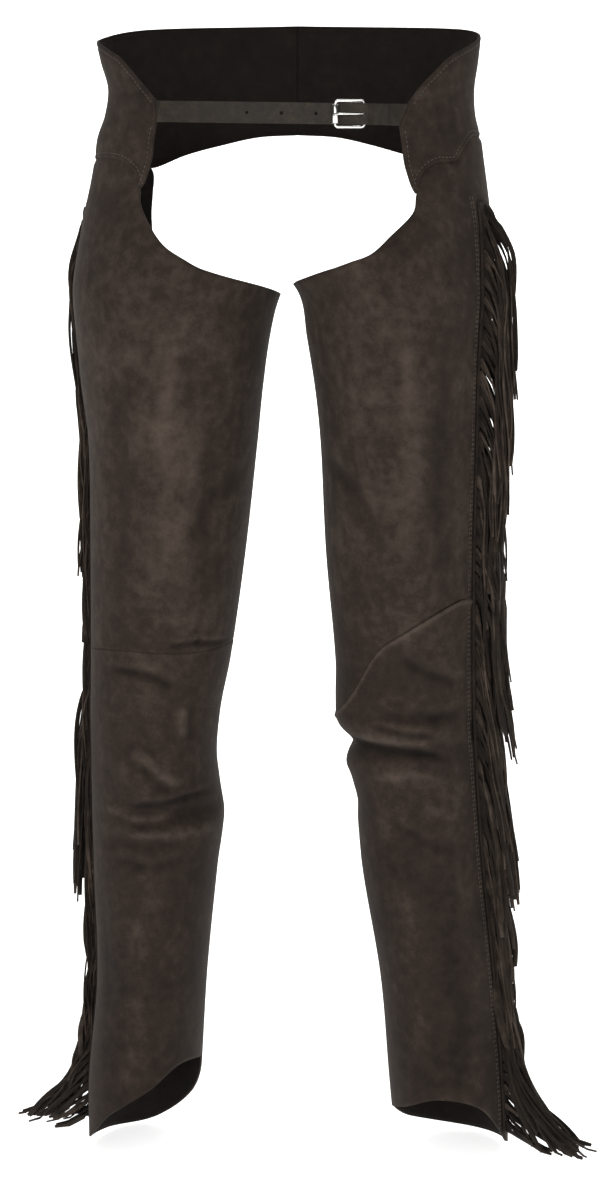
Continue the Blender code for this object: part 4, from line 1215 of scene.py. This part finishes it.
def belt_frame(place, lift):
    """A matrix at a place on the belt: X along it to the wearer's left, Y into the body, Z up."""
    _, half_x, _, _ = oval("left", 0)
    angle = math.degrees(math.asin(place / half_x))
    point, out = cloth_point("left", 0, angle, lift, creased=False)
    up = Vector((0, 0, 1))
    matrix = Matrix(((-out).cross(up).normalized(), -out, up)).transposed().to_4x4()
    matrix.translation = Vector((point.x, point.y, (BELT_MID - STRAP_FALL * place) * MM))
    return matrix


def wire(name, matrix, points, radius, closed):
    """A round wire through points given in the buckle's own frame in millimetres."""
    curve = bpy.data.curves.new(name, "CURVE")
    curve.dimensions = "3D"
    curve.bevel_depth = radius * MM
    curve.bevel_resolution = 8
    curve.use_fill_caps = True
    line = curve.splines.new("POLY")
    line.points.add(len(points) - 1)
    for slot, point in zip(line.points, points):
        slot.co = (*(matrix @ (Vector(point) * MM)), 1.0)
    line.use_cyclic_u = closed
    guide = bpy.data.objects.new(name, curve)
    bpy.context.scene.collection.objects.link(guide)
    bpy.context.view_layer.update()
    mesh = bpy.data.meshes.new_from_object(guide.evaluated_get(bpy.context.evaluated_depsgraph_get()))
    bpy.data.objects.remove(guide)
    shape = bmesh.new()
    shape.from_mesh(mesh)
    bmesh.ops.remove_doubles(shape, verts=shape.verts[:], dist=WELD)
    bmesh.ops.recalc_face_normals(shape, faces=shape.faces[:])
    piece = add_piece(name, shape, chrome)
    return piece


def arc(centre_x, centre_y, radius, start, sweep, steps):
    turns = [math.radians(start + sweep * step / steps) for step in range(steps + 1)]
    return [(centre_x + radius * math.cos(turn), centre_y + radius * math.sin(turn)) for turn in turns]


buckle = belt_frame((ROLLER_PLACE + HEEL_PLACE) / 2, FRAME_LIFT)
half_length = (HEEL_PLACE - ROLLER_PLACE) / 2
inset_x, inset_z = half_length - FRAME_CORNER, FRAME_HALF_HEIGHT - FRAME_CORNER
rim = []
for sign_x, sign_z, start in ((1, 1, 0), (-1, 1, 90), (-1, -1, 180), (1, -1, 270)):
    corner = arc(sign_x * inset_x, sign_z * inset_z, FRAME_CORNER, start, 90, 10)
    rim += [(along, 0, up) for along, up in corner]
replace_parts(wire("buckle_frame_wire", buckle, rim, FRAME_WIRE, True), "buckle_frame")

loop = FRAME_WIRE + 0.3 + PRONG_WIRE
tip_x, tip_out = -2 * half_length - PRONG_PAST_ROLLER, ROLLER_RADIUS + 0.3 + PRONG_WIRE
leave = 90 + math.degrees(math.atan2(tip_out - loop, -tip_x))
path = arc(0, 0, loop, leave - PRONG_WRAP, PRONG_WRAP, 24)
path += [(tip_x * 0.5, (loop + tip_out) / 2), (tip_x, tip_out)]
prong = wire("buckle_prong_wire", buckle, [(half_length + along, -out, 0) for along, out in path],
             PRONG_WIRE, False)
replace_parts(prong, "buckle_prong")

shape = bmesh.new()
inner = FRAME_WIRE + 0.3
profile = [(inner, ROLLER_HALF - ROLLER_EDGE), (inner + ROLLER_EDGE, ROLLER_HALF),
           (ROLLER_RADIUS - ROLLER_EDGE, ROLLER_HALF), (ROLLER_RADIUS, ROLLER_HALF - ROLLER_EDGE)]
profile += [(radius, -height) for radius, height in profile[::-1]]
ring = [shape.verts.new((radius, 0, height)) for radius, height in profile]
edges = [shape.edges.new((corner, after)) for corner, after in zip(ring, ring[1:] + ring[:1])]
bmesh.ops.spin(shape, geom=ring + edges, cent=(0, 0, 0), axis=(0, 0, 1), angle=math.tau, steps=40,
               use_merge=True)
bmesh.ops.recalc_face_normals(shape, faces=shape.faces[:])
shape.transform(buckle @ Matrix.Scale(MM, 4) @ Matrix.Translation((-half_length, 0, 0)))
roller = add_piece("buckle_roller_tube", shape, chrome)
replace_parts(roller, "buckle_roller")
print("buckle at", [round(value, 4) for value in buckle.translation])

# %% [markdown]
# Each sheet of hide is printed with the flat size that it was cut to, because hide bends but
# hardly stretches. The cut of a leg panel is its widest girth by its longest line down the leg.

for node, (piece, width, length, area) in sheets.items():
    print(node, "cut from", round(width, 3), "by", round(length, 3), "m, area", round(area, 4))
